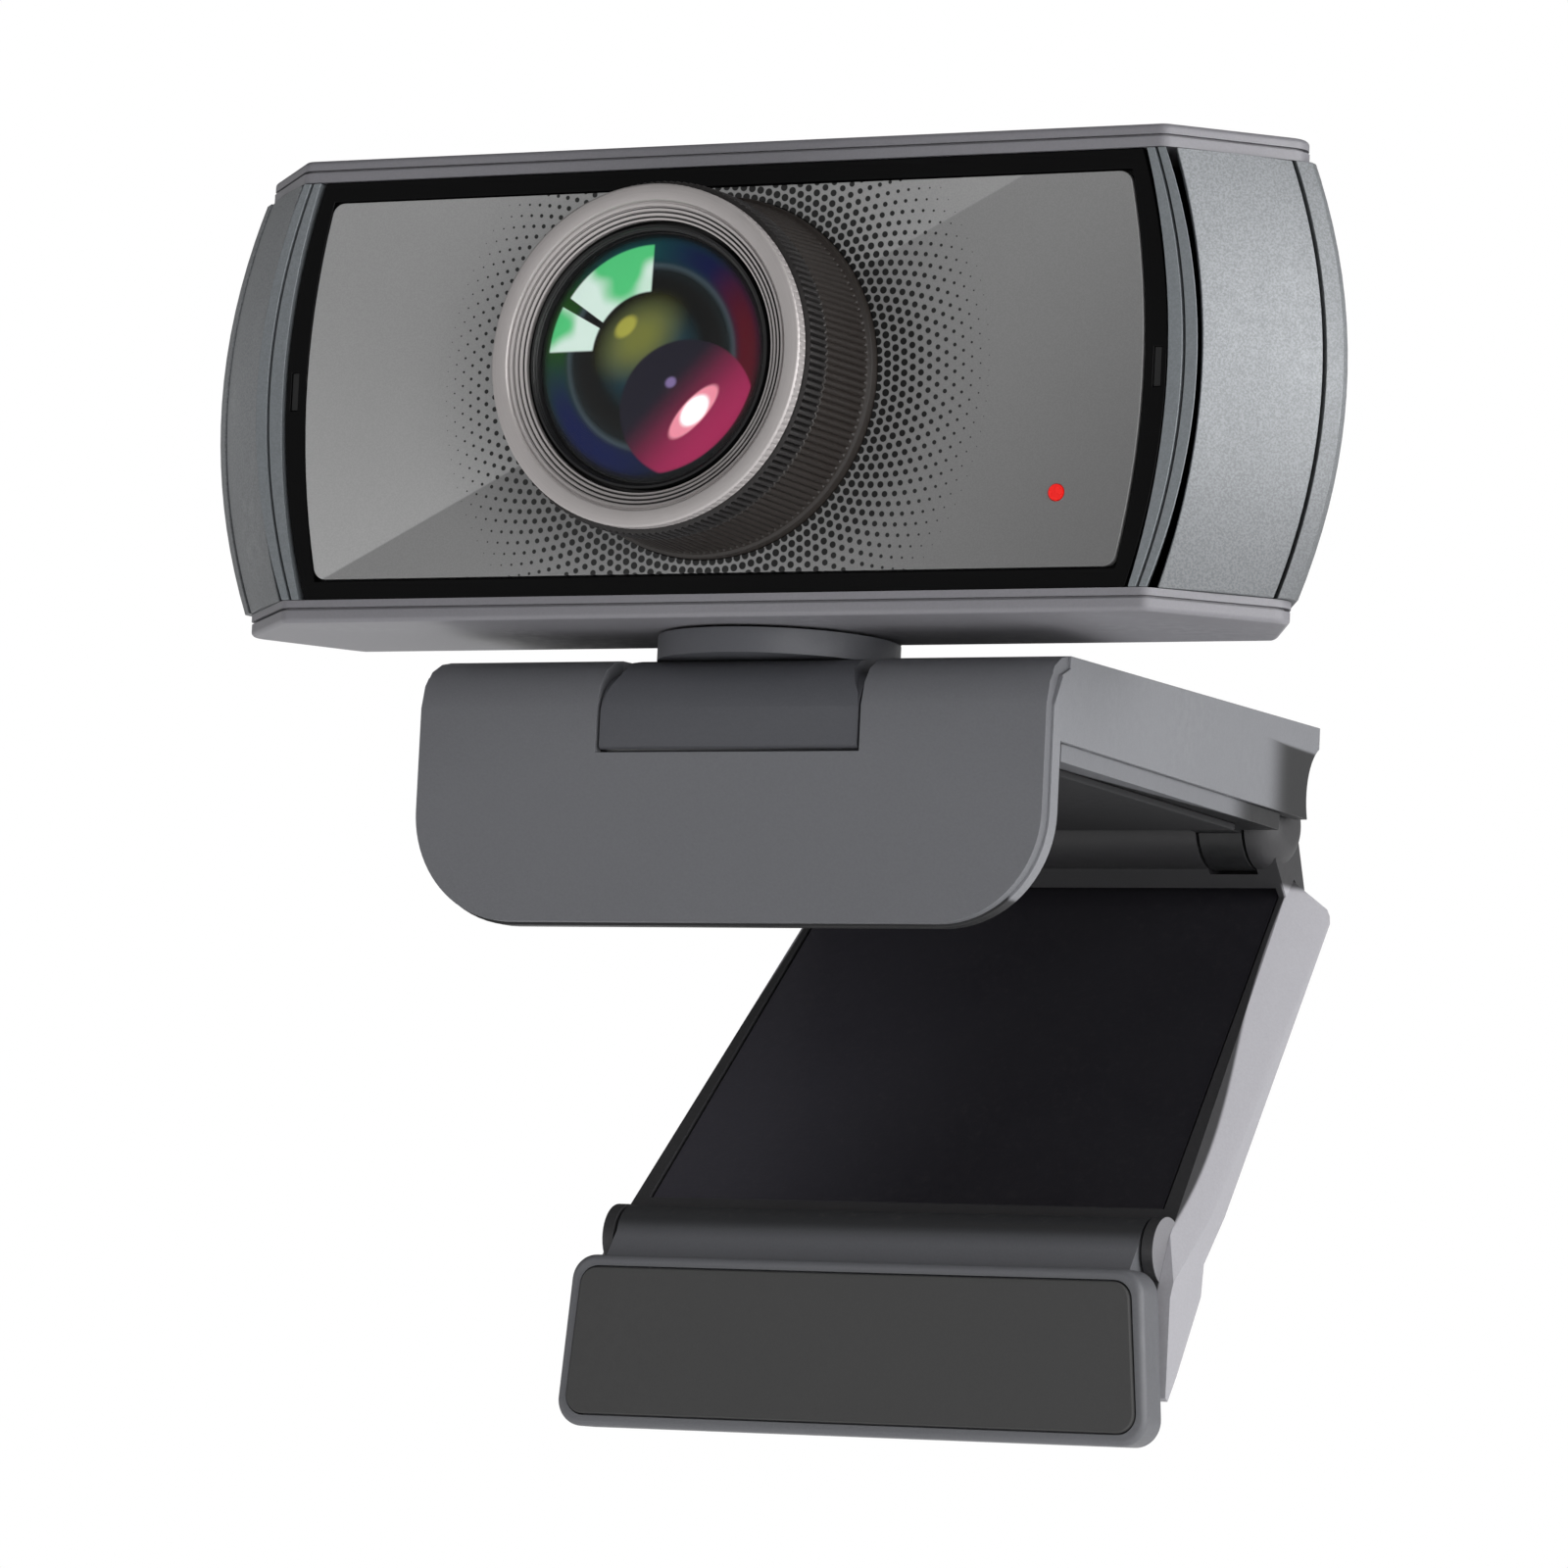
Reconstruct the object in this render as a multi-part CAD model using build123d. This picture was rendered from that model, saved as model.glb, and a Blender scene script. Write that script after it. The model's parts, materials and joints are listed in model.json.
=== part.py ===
from build123d import *
import os

# A wide webcam on a folding monitor clip, in millimetres.
# X runs across, Y runs back through the screen, Z is up, and the camera looks along -Y.
# The solids are drawn from the top front edge of the clip, then moved so that the
# origin is the centre of the arm's soft underside, the face that rests on a monitor.

# clip arm
ARM_FRONT_HALF = 30.8
ARM_REAR_HALF = 26.6
ARM_END = 68.2
ARM_DEEP = 7.5
ARM_RISE = 1.35
ROUND_BACK = 4.6
BASE_DEEP = 9.1
PAD_DEEP = 9.8
PAD_CENTRE_Y = 31.0
LIP_DROP = 23.7
LIP_CORNER = 10.0
LIP_BACK = 2.6
COVER = 1.1
WALL = 1.7

# tilt knuckle and swivel
TILT_Y = 4.1
TILT_Z = -5.3
TONGUE_R = 3.9
TONGUE_FRONT = 0.2
TONGUE_LOW = -8.3
TONGUE_HALF = 12.6
TOE_R = 4.75
SLOT_HALF = 12.9
SLOT_FLOOR = -8.6
PIN_R = 1.1
TILT_WASHER_R = 1.95
PAN_Y = 9.3
POST_R = 10.7
SHAFT_R = 3.9

# rear hinge, leg, lower hinge and foot
HINGE_Y = 66.1
HINGE_Z = -8.0
HINGE_R = 4.2
HINGE_HALF = 25.1
KNUCKLE_IN = 17.1
KNUCKLE_OUT = 22.0
GAP = 0.3
LEG_TOP = (69.1, -12.7)
LEG_LOW = (38.7, -45.5)
LEG_TOP_HALF = 25.4
LEG_LOW_HALF = 29.0
PANEL_INSET = 3.0
FOOT_AXIS_Y = 36.3
FOOT_AXIS_Z = -49.2
FOOT_BARREL_R = 3.0
FOOT_BARREL_HALF = 26.2
FOOT_FRONT = 29.3
FOOT_THICK = 3.3
FOOT_TOP = -51.1
FOOT_LOW = -66.7
FOOT_TOP_HALF = 28.4
FOOT_LOW_HALF = 29.6

# head
HEAD_FRONT = -5.84
HEAD_LOW = 2.4
HEAD_HIGH = 43.9
LOW_LIP = 4.4
HIGH_LIP = 41.9
HEAD_MID = 23.15
SWELL_HALF = 19.4
CREASE_X = 41.9
SIDE_X = 51.2
SIDE_Y = 3.9
REAR_Y = 23.0
LENS_Z = 23.2
BARREL_R = 15.4
RING_R = 14.8

# tripod thread: minor radius of the common quarter inch camera screw
TRIPOD_R = 2.55
TRIPOD_LONG = 6.0

TO_MODEL = Location((0, -PAD_CENTRE_Y, PAD_DEEP))

os.makedirs("parts", exist_ok=True)


def save(name, shape):
    """Write one node, moved from the drawing frame to the model frame."""
    solids = list(shape.solids())
    for solid in solids:
        assert solid.is_valid, name
    body = solids[0] if len(solids) == 1 else Compound(children=solids)
    export_step(body.moved(TO_MODEL), f"parts/{name}.step")
    print(f"{name:22s} {len(solids)} solid, {sum(s.volume for s in solids):9.1f} mm3")


def box(x0, x1, y0, y1, z0, z1):
    """A block between two corners."""
    at = Pos((x0 + x1) / 2, (y0 + y1) / 2, (z0 + z1) / 2)
    return at * Box(x1 - x0, y1 - y0, z1 - z0)


def rod_x(r, x0, x1, y, z):
    """A cylinder along X."""
    return Pos((x0 + x1) / 2, y, z) * Rot(0, 90, 0) * Cylinder(r, x1 - x0)


def rod_y(r, y0, y1, x=0.0, z=0.0):
    """A cylinder along Y."""
    return Pos(x, (y0 + y1) / 2, z) * Rot(90, 0, 0) * Cylinder(r, y1 - y0)


def rod_z(r, z0, z1, x=0.0, y=0.0):
    """A cylinder along Z."""
    return Pos(x, y, (z0 + z1) / 2) * Cylinder(r, z1 - z0)


def side_view(points, half, x_mid=0.0):
    """A (Y, Z) outline, stretched to both sides along X."""
    plane = Plane(origin=(x_mid, 0, 0), x_dir=(0, 1, 0), z_dir=(1, 0, 0))
    return extrude(plane * make_face(Polyline(*points, close=True)), amount=half, both=True)


def front_view(sketch, y0, y1):
    """An (X, Z) sketch, stretched from y1 forward to y0."""
    plane = Plane(origin=(0, y1, 0), x_dir=(1, 0, 0), z_dir=(0, -1, 0))
    return extrude(plane * sketch, amount=y1 - y0)


def top_view(sketch, z0, z1):
    """An (X, Y) sketch, stretched from z0 up to z1."""
    return extrude(Pos(0, 0, z0) * sketch, amount=z1 - z0)


def turned(points, z=LENS_Z):
    """A (radius, Y) outline turned round the lens axis."""
    plane = Plane(origin=(0, 0, z), x_dir=(1, 0, 0), z_dir=(0, 0, 1))
    axis = Axis((0, 0, z), (0, 1, 0))
    return revolve(plane * make_face(Polyline(*points, close=True)), axis=axis)


def both_sides(shape):
    """The shape and its mirror image across the middle."""
    return shape + mirror(shape, about=Plane.YZ)


# ---------------------------------------------------------------- clip arm
def arm_plan(inset=0.0, y0=COVER, y1=ARM_END):
    """Plan of the arm: wide at the lip, narrower at the rear hinge."""

    def half(y):
        return ARM_FRONT_HALF + (ARM_REAR_HALF - ARM_FRONT_HALF) * y / ARM_END - inset

    return make_face(Polyline((-half(y0), y0), (half(y0), y0), (half(y1), y1), (-half(y1), y1), close=True))


def lip_outline(inset=0.0, top=-1.0):
    """Front view of the lip: straight sides, wide rounded lower corners."""
    half = ARM_FRONT_HALF - inset
    low = -LIP_DROP + inset
    sketch = make_face(Polyline((-half, top), (half, top), (half, low), (-half, low), close=True))
    return fillet(sketch.vertices().group_by(Axis.Y)[0], LIP_CORNER - inset)


def tongue_face(gap=0.0):
    """Front view of the tongue: straight below, narrower towards its rounded top."""
    right = [(TONGUE_HALF, SLOT_FLOOR), (TONGUE_HALF, -4.8), (12.3, -3.4), (11.6, -2.0), (11.2, -1.2), (11.2, 2)]
    pts = [(x + gap, z) for x, z in right] + [(-x - gap, z) for x, z in right[::-1]]
    return make_face(Polyline(*pts, close=True))


def knuckle_slot():
    """Space in the arm's front for the tongue of the swivel post."""
    slot = front_view(tongue_face(GAP), -2, TILT_Y)
    slot += box(-SLOT_HALF, SLOT_HALF, 2.5, TILT_Y + 0.1, SLOT_FLOOR, 2)
    slot += rod_x(TOE_R + GAP, -SLOT_HALF, SLOT_HALF, TILT_Y, TILT_Z)
    slot += box(-SLOT_HALF, SLOT_HALF, 1, 11.6, -3.6, 2)
    slot += rod_z(POST_R + 1.0, -1.5, 2, 0, PAN_Y)
    return slot


ROUND_CUT = side_view([(-1, 1), (4.6, 1), (4.6, 0), (3.0, -0.35), (1.5, -1.2), (0.5, -2.6), (0, -4.6), (-1, -4.6)], 40)

arm = top_view(arm_plan(), -ARM_DEEP, 2)
arm -= box(-40, 40, 0, ROUND_BACK, 0, 3)
arm -= side_view([(ROUND_BACK, 0), (ARM_END + 1, ARM_RISE), (ARM_END + 1, 3), (ROUND_BACK, 3)], 40)
cavity = top_view(arm_plan(WALL, 20.8, 58), -ARM_DEEP - 1, -WALL)
cavity += top_view(arm_plan(WALL, 15, 21), -ARM_DEEP - 1, -2.9)
cavity += both_sides(box(SLOT_HALF + 6, 27, 4.4, 15.2, -ARM_DEEP - 1, -WALL))
arm -= cavity
arm += front_view(lip_outline(), COVER, LIP_BACK)
arm -= side_view([(-1, 1), (4.6, 1), (4.6, -COVER), (2.6, -1.9), (COVER, -4.6), (-1, -4.6)], 40)
knuckles = rod_x(HINGE_R, KNUCKLE_IN + GAP, KNUCKLE_OUT - GAP, HINGE_Y, HINGE_Z)
knuckles += box(KNUCKLE_IN + GAP, KNUCKLE_OUT - GAP, 55, HINGE_Y, -BASE_DEEP, -1)
knuckles = both_sides(knuckles)
hinge_room = rod_x(HINGE_R + 0.35, -HINGE_HALF - 0.4, HINGE_HALF + 0.4, HINGE_Y, HINGE_Z)
hinge_room += box(-HINGE_HALF - 0.4, HINGE_HALF + 0.4, HINGE_Y, ARM_END + 3, -12, HINGE_Z + HINGE_R + 0.35)
notch = rod_x(5.2, -30, 30, 70.4, -5.4)
arm = arm - hinge_room - notch + knuckles
arm -= knuckle_slot()
arm -= rod_x(PIN_R + 0.01, -17.6, 17.6, TILT_Y, TILT_Z)
arm -= both_sides(rod_x(TILT_WASHER_R + 0.05, SLOT_HALF - 0.1, SLOT_HALF + 0.85, TILT_Y, TILT_Z))
base_screw_spots = [(x, y) for x in (-20.5, 20.5) for y in (19.0, 48.0)]
for x, y in base_screw_spots:
    arm += rod_z(2.6, -ARM_DEEP, -1.0, x, y)
    arm -= rod_z(1.06, -ARM_DEEP - 1, -2.1, x, y)
arm -= both_sides(rod_x(1.51, KNUCKLE_IN - 1, KNUCKLE_OUT + 1, HINGE_Y, HINGE_Z))
save("clip_arm", arm)

cover = front_view(lip_outline(0.25), 0, COVER)
top_lip = top_view(arm_plan(0.25, 0, 4.6), -5, 0)
top_lip -= side_view([(COVER, -5.5), (COVER, -4.6), (2.6, -1.9), (4.6, -COVER), (6, -COVER), (6, -5.5)], 40)
cover += top_lip
cover = cover - ROUND_CUT - knuckle_slot()
save("clip_front", cover)

base = top_view(arm_plan(0.5, 4.5, 59.5), -BASE_DEEP, -ARM_DEEP - 0.02)
base -= both_sides(box(KNUCKLE_IN, KNUCKLE_OUT, 54.9, 61, -BASE_DEEP - 1, -ARM_DEEP + 1))
base -= knuckle_slot()
INSERT_Y = 23.0
base += rod_z(6.6, -ARM_DEEP - 0.5, -3.2, 0, INSERT_Y)
base -= rod_z(5.0, -BASE_DEEP - 1, -2.0, 0, INSERT_Y)
for x, y in base_screw_spots:
    base -= rod_z(2.2, -BASE_DEEP - 1, -BASE_DEEP + 0.9, x, y)
    base -= rod_z(1.15, -BASE_DEEP - 1, 0, x, y)
save("arm_base", base)

insert = rod_z(4.98, -BASE_DEEP, -BASE_DEEP + TRIPOD_LONG, 0, INSERT_Y)
insert -= rod_z(TRIPOD_R, -BASE_DEEP - 1, 0, 0, INSERT_Y)
save("tripod_insert", insert)

pad = top_view(arm_plan(2.6, 5.5, 53.5), -PAD_DEEP, -BASE_DEEP)
pad -= rod_z(5.4, -12, 0, 0, INSERT_Y)
pad -= box(-SLOT_HALF - 2, SLOT_HALF + 2, 5, 8.5, -12, 0)
save("arm_pad", pad)

lip_pad = box(-26, 26, LIP_BACK, LIP_BACK + 0.7, -21.2, -11.2)
lip_pad = fillet(lip_pad.edges().filter_by(Axis.Y), 2.0)
save("lip_pad", lip_pad)


def screws_z(spots, head_z, head_r, shank_r, long, up):
    """Round-head screws along Z, one solid each, with a cross recess in each head."""
    out = []
    for x, y in spots:
        head = rod_z(head_r, min(head_z, head_z + 0.8 * up), max(head_z, head_z + 0.8 * up), x, y)
        shank = rod_z(shank_r, min(head_z, head_z + long * up), max(head_z, head_z + long * up), x, y)
        slot = Pos(x, y, head_z) * (Box(2 * head_r * 0.65, 0.45, 0.8) + Box(0.45, 2 * head_r * 0.65, 0.8))
        out.append((head + shank - slot).solids()[0])
    return Compound(children=out)


save("base_screws", screws_z(base_screw_spots, -BASE_DEEP + 0.05, 2.1, 1.05, 6.8, 1))

save("tilt_pin", rod_x(PIN_R, -17.5, 17.5, TILT_Y, TILT_Z))
washer = rod_x(TILT_WASHER_R, SLOT_HALF + 0.1, SLOT_HALF + 0.8, TILT_Y, TILT_Z)
washer -= rod_x(PIN_R + 0.05, 0, 20, TILT_Y, TILT_Z)
save("tilt_washers", both_sides(washer))
save("rear_hinge_pin", rod_x(1.5, -HINGE_HALF + 1.4, HINGE_HALF - 1.4, HINGE_Y, HINGE_Z))

# ---------------------------------------------------------------- swivel post
post = rod_x(TONGUE_R, -TONGUE_HALF, TONGUE_HALF, TILT_Y, TILT_Z)
toe = box(-TONGUE_HALF, TONGUE_HALF, TONGUE_FRONT, TILT_Y, TONGUE_LOW, TILT_Z)
post += toe & rod_x(TOE_R, -TONGUE_HALF, TONGUE_HALF, TILT_Y, TILT_Z)
brow = [(TONGUE_FRONT, TILT_Z), (TONGUE_FRONT, -4.6), (0.7, -2.6), (1.7, -1.2), (3.2, -0.35), (4.8, -0.05)]
tongue = side_view(brow + [(9.5, -0.05), (9.5, -2.3), (7.2, -4.2), (TILT_Y, TILT_Z)], TONGUE_HALF)
post += tongue & front_view(tongue_face(), -1, 12)
post += rod_z(POST_R, -0.06, HEAD_LOW - 0.25, 0, PAN_Y)
post += rod_z(SHAFT_R, -0.06, HEAD_LOW + 4.0, 0, PAN_Y)
post -= rod_x(PIN_R + 0.05, -20, 20, TILT_Y, TILT_Z)
post -= rod_z(1.2, HEAD_LOW - 2.0, HEAD_LOW + 6, 0, PAN_Y)
save("swivel_post", post)
swivel_washer = rod_z(6.2, HEAD_LOW + 4.0, HEAD_LOW + 4.7, 0, PAN_Y) - rod_z(1.3, 0, 20, 0, PAN_Y)
save("swivel_washer", swivel_washer)
screw = rod_z(2.6, HEAD_LOW + 4.7, HEAD_LOW + 6.3, 0, PAN_Y) + rod_z(1.19, HEAD_LOW - 1.8, HEAD_LOW + 5, 0, PAN_Y)
screw -= Pos(0, PAN_Y, HEAD_LOW + 6.3) * (Box(3.4, 0.6, 1.4) + Box(0.6, 3.4, 1.4))
save("swivel_screw", screw)

# ---------------------------------------------------------------- leg
run_y = LEG_TOP[0] - LEG_LOW[0]
run_z = LEG_TOP[1] - LEG_LOW[1]
run = (run_y**2 + run_z**2) ** 0.5
along = (run_y / run, run_z / run)
back = (run_z / run, -run_y / run)


def leg_point(s, depth):
    """A point s along the leg's front face from its low end, at a depth behind it."""
    return (LEG_LOW[0] + along[0] * s + back[0] * depth, LEG_LOW[1] + along[1] * s + back[1] * depth)


def leg_mask(inset=0.0):
    """Front view of the leg: narrow at the rear hinge, wide at the foot."""
    pts = []
    for sign in (1, -1):
        side = [(LEG_TOP_HALF + 0.5, -8.0), (LEG_LOW_HALF, LEG_LOW[1]), (LEG_LOW_HALF, -70)]
        side = side if sign == 1 else side[::-1]
        pts += [(sign * (x - inset), z) for x, z in side]
    return front_view(make_face(Polyline(*pts, close=True)), 10, 90)


LEG_THICK = 5.0
BEVEL_IN = 1.55
BEVEL_DEEP = 2.6
EAR_HALF = 27.6
PANEL_THICK = 0.9
TRAY = 3.6
tail = [(34.3, -53.4), (34.2, -62.2), (34.7, -62.5), (36.4, -60.2), (41.0, -52.9)]
outline = [leg_point(run, 0), leg_point(0, 0), leg_point(-3.0, 0)] + tail
outline += [leg_point(-1.5, LEG_THICK), leg_point(run - 0.6, LEG_THICK), leg_point(run + 0.4, LEG_THICK - 0.9)]
leg = side_view(outline, 40) & leg_mask()
low_in = (LEG_LOW_HALF - BEVEL_IN, *leg_point(0, 0))
top_in = (LEG_TOP_HALF - BEVEL_IN, *leg_point(run, 0))
low_out = (LEG_LOW_HALF, *leg_point(0, BEVEL_DEEP))
across = Vector(*top_in) - Vector(*low_in)
outward = across.cross(Vector(*low_out) - Vector(*low_in)).normalized()
outward = outward if outward.X > 0 else -outward
edge_plane = Plane(origin=low_in, x_dir=across, z_dir=outward)
leg -= both_sides(edge_plane * Pos(0, 0, 10) * Box(200, 60, 20))
ears = both_sides(rod_x(FOOT_BARREL_R + 0.1, FOOT_BARREL_HALF + GAP, EAR_HALF, FOOT_AXIS_Y, FOOT_AXIS_Z))
foot_room = rod_x(FOOT_BARREL_R + 0.35, -FOOT_BARREL_HALF - GAP, FOOT_BARREL_HALF + GAP, FOOT_AXIS_Y, FOOT_AXIS_Z)
leg = leg - foot_room + ears
web = [(64.6, -11.3), (67.9, -4.8), leg_point(run + 0.4, LEG_THICK - 0.9), leg_point(run, 0), leg_point(run - 2.5, 0)]
leg_knuckles = side_view(web, KNUCKLE_IN) + rod_x(HINGE_R, -KNUCKLE_IN, KNUCKLE_IN, HINGE_Y, HINGE_Z)
outer = rod_x(HINGE_R, KNUCKLE_OUT, HINGE_HALF, HINGE_Y, HINGE_Z)
outer = fillet(outer.edges().group_by(Axis.X)[-1], 2.8)
outer += side_view(web, 1.1, KNUCKLE_OUT + 1.1)
gap_mid = (KNUCKLE_IN + KNUCKLE_OUT) / 2
leg += both_sides(side_view(web, (KNUCKLE_OUT - KNUCKLE_IN) / 2, gap_mid))
arm_knuckle_room = rod_x(HINGE_R + 0.4, KNUCKLE_IN, KNUCKLE_OUT, HINGE_Y, HINGE_Z)
leg = leg - both_sides(arm_knuckle_room) + leg_knuckles + both_sides(outer)
leg -= rod_x(1.54, -HINGE_HALF + 1.3, HINGE_HALF - 1.3, HINGE_Y, HINGE_Z)
leg -= rod_x(1.31, -EAR_HALF + 0.3, EAR_HALF - 0.3, FOOT_AXIS_Y, FOOT_AXIS_Z)
recess = side_view([leg_point(run - 0.4, -1), leg_point(0.3, -1), leg_point(0.3, PANEL_THICK), leg_point(run - 0.4, PANEL_THICK)], 40)
leg -= recess & leg_mask(PANEL_INSET)
hollow = side_view([leg_point(run - 3, 2.4), leg_point(4, 2.4), leg_point(4, 9), leg_point(run - 3, 9)], 40)
leg -= hollow & leg_mask(1.8)
save("leg_frame", leg)

panel = side_view([leg_point(run - 0.6, 0.15), leg_point(0.5, 0.15), leg_point(0.5, PANEL_THICK), leg_point(run - 0.6, PANEL_THICK)], 40)
save("leg_panel", panel & leg_mask(PANEL_INSET + 0.25))

leg_back = side_view([leg_point(run - 3.1, TRAY), leg_point(4.1, TRAY), leg_point(4.1, LEG_THICK - 0.1), leg_point(run - 3.1, LEG_THICK - 0.1)], 40)
leg_back = leg_back & leg_mask(1.95)
save("leg_cover", leg_back)
save("foot_hinge_pin", rod_x(1.3, -EAR_HALF + 0.4, EAR_HALF - 0.4, FOOT_AXIS_Y, FOOT_AXIS_Z))

# ---------------------------------------------------------------- foot


def foot_outline(inset, corner):
    """Front view of the foot plate, a little wider at its low edge."""
    pts = [(-FOOT_TOP_HALF + inset, FOOT_TOP - inset), (FOOT_TOP_HALF - inset, FOOT_TOP - inset)]
    pts += [(FOOT_LOW_HALF - inset, FOOT_LOW + inset), (-FOOT_LOW_HALF + inset, FOOT_LOW + inset)]
    sketch = make_face(Polyline(*pts, close=True))
    return fillet(sketch.vertices(), corner)


foot = front_view(foot_outline(0, 2.4), FOOT_FRONT, FOOT_FRONT + FOOT_THICK)
foot = fillet(foot.faces().sort_by(Axis.Y)[0].edges(), 0.6)
foot += rod_x(FOOT_BARREL_R, -FOOT_BARREL_HALF, FOOT_BARREL_HALF, FOOT_AXIS_Y, FOOT_AXIS_Z)
foot_web = [(FOOT_FRONT + 2.0, FOOT_TOP - 0.4), (34.2, -47.5), (36.3, -49.2), (34.9, -51.8), (33.0, -52.9), (32.4, -54.0)]
foot += side_view(foot_web, FOOT_BARREL_HALF)
foot -= rod_x(1.36, -40, 40, FOOT_AXIS_Y, FOOT_AXIS_Z)
foot -= front_view(foot_outline(1.0, 1.8), FOOT_FRONT - 1, FOOT_FRONT + 1.0)
save("foot_plate", foot)
save("foot_pad", front_view(foot_outline(1.15, 1.65), FOOT_FRONT - 0.35, FOOT_FRONT + 1.0))

# ---------------------------------------------------------------- head casing
REAR_PLAN = [(45.2, 14.8), (36.0, 20.8)]


def head_plan(inset=0.0):
    """Plan of the head: flat front, angled front corners, tapering back."""
    right = [(CREASE_X, HEAD_FRONT), (SIDE_X, SIDE_Y)] + REAR_PLAN
    left = [(-x, y) for x, y in right[::-1]]
    pts = right + [(0, REAR_Y)] + left
    sketch = make_face(Polyline(*pts, close=True))
    corners = sketch.vertices().sort_by(Axis.Y)
    sketch = fillet([v for v in corners if v.Y < 0], 1.5)
    sketch = fillet([v for v in sketch.vertices() if abs(v.Y - SIDE_Y) < 0.1], 2.2)
    sketch = fillet([v for v in sketch.vertices() if v.Y > 14 and v.Y < 22], 7.0)
    return offset(sketch, -inset, kind=Kind.INTERSECTION) if inset else sketch


def swell(z):
    """How far the sides bulge at a height: 1 at mid height, 0 at the caps."""
    return 1 - ((z - HEAD_MID) / SWELL_HALF) ** 2


def bulged(points, z0=LOW_LIP + 0.05, z1=HIGH_LIP - 0.05, levels=5):
    """Loft of a plan (x, y, bulge) through several heights, pushed out by its bulge."""
    sections = []
    for i in range(levels):
        z = z0 + (z1 - z0) * i / (levels - 1)
        ring = [(x + push * swell(z), y, z) for x, y, push in points]
        sections.append(make_face(Polyline(*ring, close=True)))
    return loft(sections)


def chamfer_point(s, depth):
    """A point on the angled front corner, s from crease (0) to side (1), set in by a depth."""
    x = CREASE_X + (SIDE_X - CREASE_X) * s - 0.70 * depth
    y = HEAD_FRONT + (SIDE_Y - HEAD_FRONT) * s + 0.71 * depth
    return (x, y, 3.4 + 0.6 * s)


trim_front = bulged([(40.05, HEAD_FRONT, 3.0), (40.75, HEAD_FRONT, 3.65), (40.75, -4.2, 3.65), (40.05, -4.2, 3.0)])
trim_rear = bulged([(41.0, HEAD_FRONT, 3.65), (41.75, HEAD_FRONT, 4.05), (41.2, -4.4, 3.9), (41.0, -4.2, 3.65)])
panel_plan = [chamfer_point(0.07, 0.1), chamfer_point(0.5, -0.25), chamfer_point(0.85, 0.0)]
panel_plan += [chamfer_point(0.85, 1.7), chamfer_point(0.5, 1.5), chamfer_point(0.10, 1.5)]
side = bulged(panel_plan)
for name, shape in (("side_trim_front", trim_front), ("side_trim_rear", trim_rear), ("side_panel", side)):
    save(name + "_right", shape)
    save(name + "_left", mirror(shape, about=Plane.YZ))

def slopes(depth):
    """Wedges that slope the back of the head towards its top and bottom, set in by a depth."""
    y = 14.2 - 0.4 * depth
    y_far = 24.5
    rise = 7.0 + 1.15 * depth
    low = side_view([(y, HEAD_LOW - 0.01), (y_far, HEAD_LOW - 0.01), (y_far, HEAD_LOW + rise)], 70)
    return low + side_view([(y, HEAD_HIGH + 0.01), (y_far, HEAD_HIGH + 0.01), (y_far, HEAD_HIGH - rise)], 70)


REAR_OUTER = [(50.1, 2.55, 3.9), (51.1, 3.6, 4.0), (51.1, 4.5, 4.0), (45.6, 14.4, 3.4), (42.9, 17.6, 2.8), (36.4, 20.6, 1.6)]
REAR_OUTER += [(20.0, 22.2, 0.4), (0, REAR_Y, 0)]
REAR_INNER = [(49.0, 2.0, 3.9), (49.0, 4.1, 3.9), (43.9, 13.8, 3.3), (41.5, 16.4, 2.7), (35.6, 18.9, 1.5)]
REAR_INNER += [(19.9, 20.4, 0.4), (0, REAR_Y - 1.8, 0)]
bevel = slopes(0)
outer_half = bulged(REAR_OUTER + [(0, 4.4, 0), (48.5, 4.4, 3.9), (48.95, 3.9, 3.9)]) - bevel
inner_half = bulged(REAR_INNER + [(0, 2.0, 0)], LOW_LIP - 1, HIGH_LIP + 1) - slopes(1.8)
rear_half = outer_half - inner_half
rear = rear_half + mirror(rear_half, about=Plane.YZ)
rear -= rod_z(POST_R + 0.9, 0, 9.4, 0, PAN_Y)
GLAND_Z = 15.0
rear -= rod_y(3.0, 15, 30, 0, GLAND_Z)
rear_screw_spots = [(x, z) for x in (-30.0, 30.0) for z in (12.0, 34.0)]
for x, z in rear_screw_spots:
    rear += rod_y(2.9, 16.5, 21.0, x, z)
    rear -= rod_y(2.3, 20.2, 26, x, z)
    rear -= rod_y(1.2, 15, 26, x, z)
save("rear_shell", rear)

top = top_view(head_plan(), HIGH_LIP, HEAD_HIGH - 1.15)
top += top_view(head_plan(0.55), HIGH_LIP + 0.2, HEAD_HIGH - 0.5)
lid = top_view(head_plan(0.05), HEAD_HIGH - 0.9, HEAD_HIGH)
lid = fillet(lid.faces().sort_by(Axis.Z)[-1].edges(), 0.45)
top = top + lid - bevel
save("top_cap", top)

bottom = top_view(head_plan(), HEAD_LOW + 1.35, LOW_LIP)
bottom += top_view(head_plan(0.55), HEAD_LOW + 0.4, LOW_LIP - 0.2)
tray = top_view(head_plan(0.05), HEAD_LOW, HEAD_LOW + 1.1)
tray = fillet(tray.faces().sort_by(Axis.Z)[0].edges(), 0.45)
bottom = bottom + tray - bevel
bottom += rod_z(POST_R, HEAD_LOW, HEAD_LOW + 3.7, 0, PAN_Y)
bottom += rod_z(POST_R, HEAD_LOW + 3.6, HEAD_LOW + 6.9, 0, PAN_Y) - rod_z(7.0, 0, 20, 0, PAN_Y)
bottom -= rod_z(SHAFT_R + 0.06, 0, 20, 0, PAN_Y)
save("bottom_cap", bottom)

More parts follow.
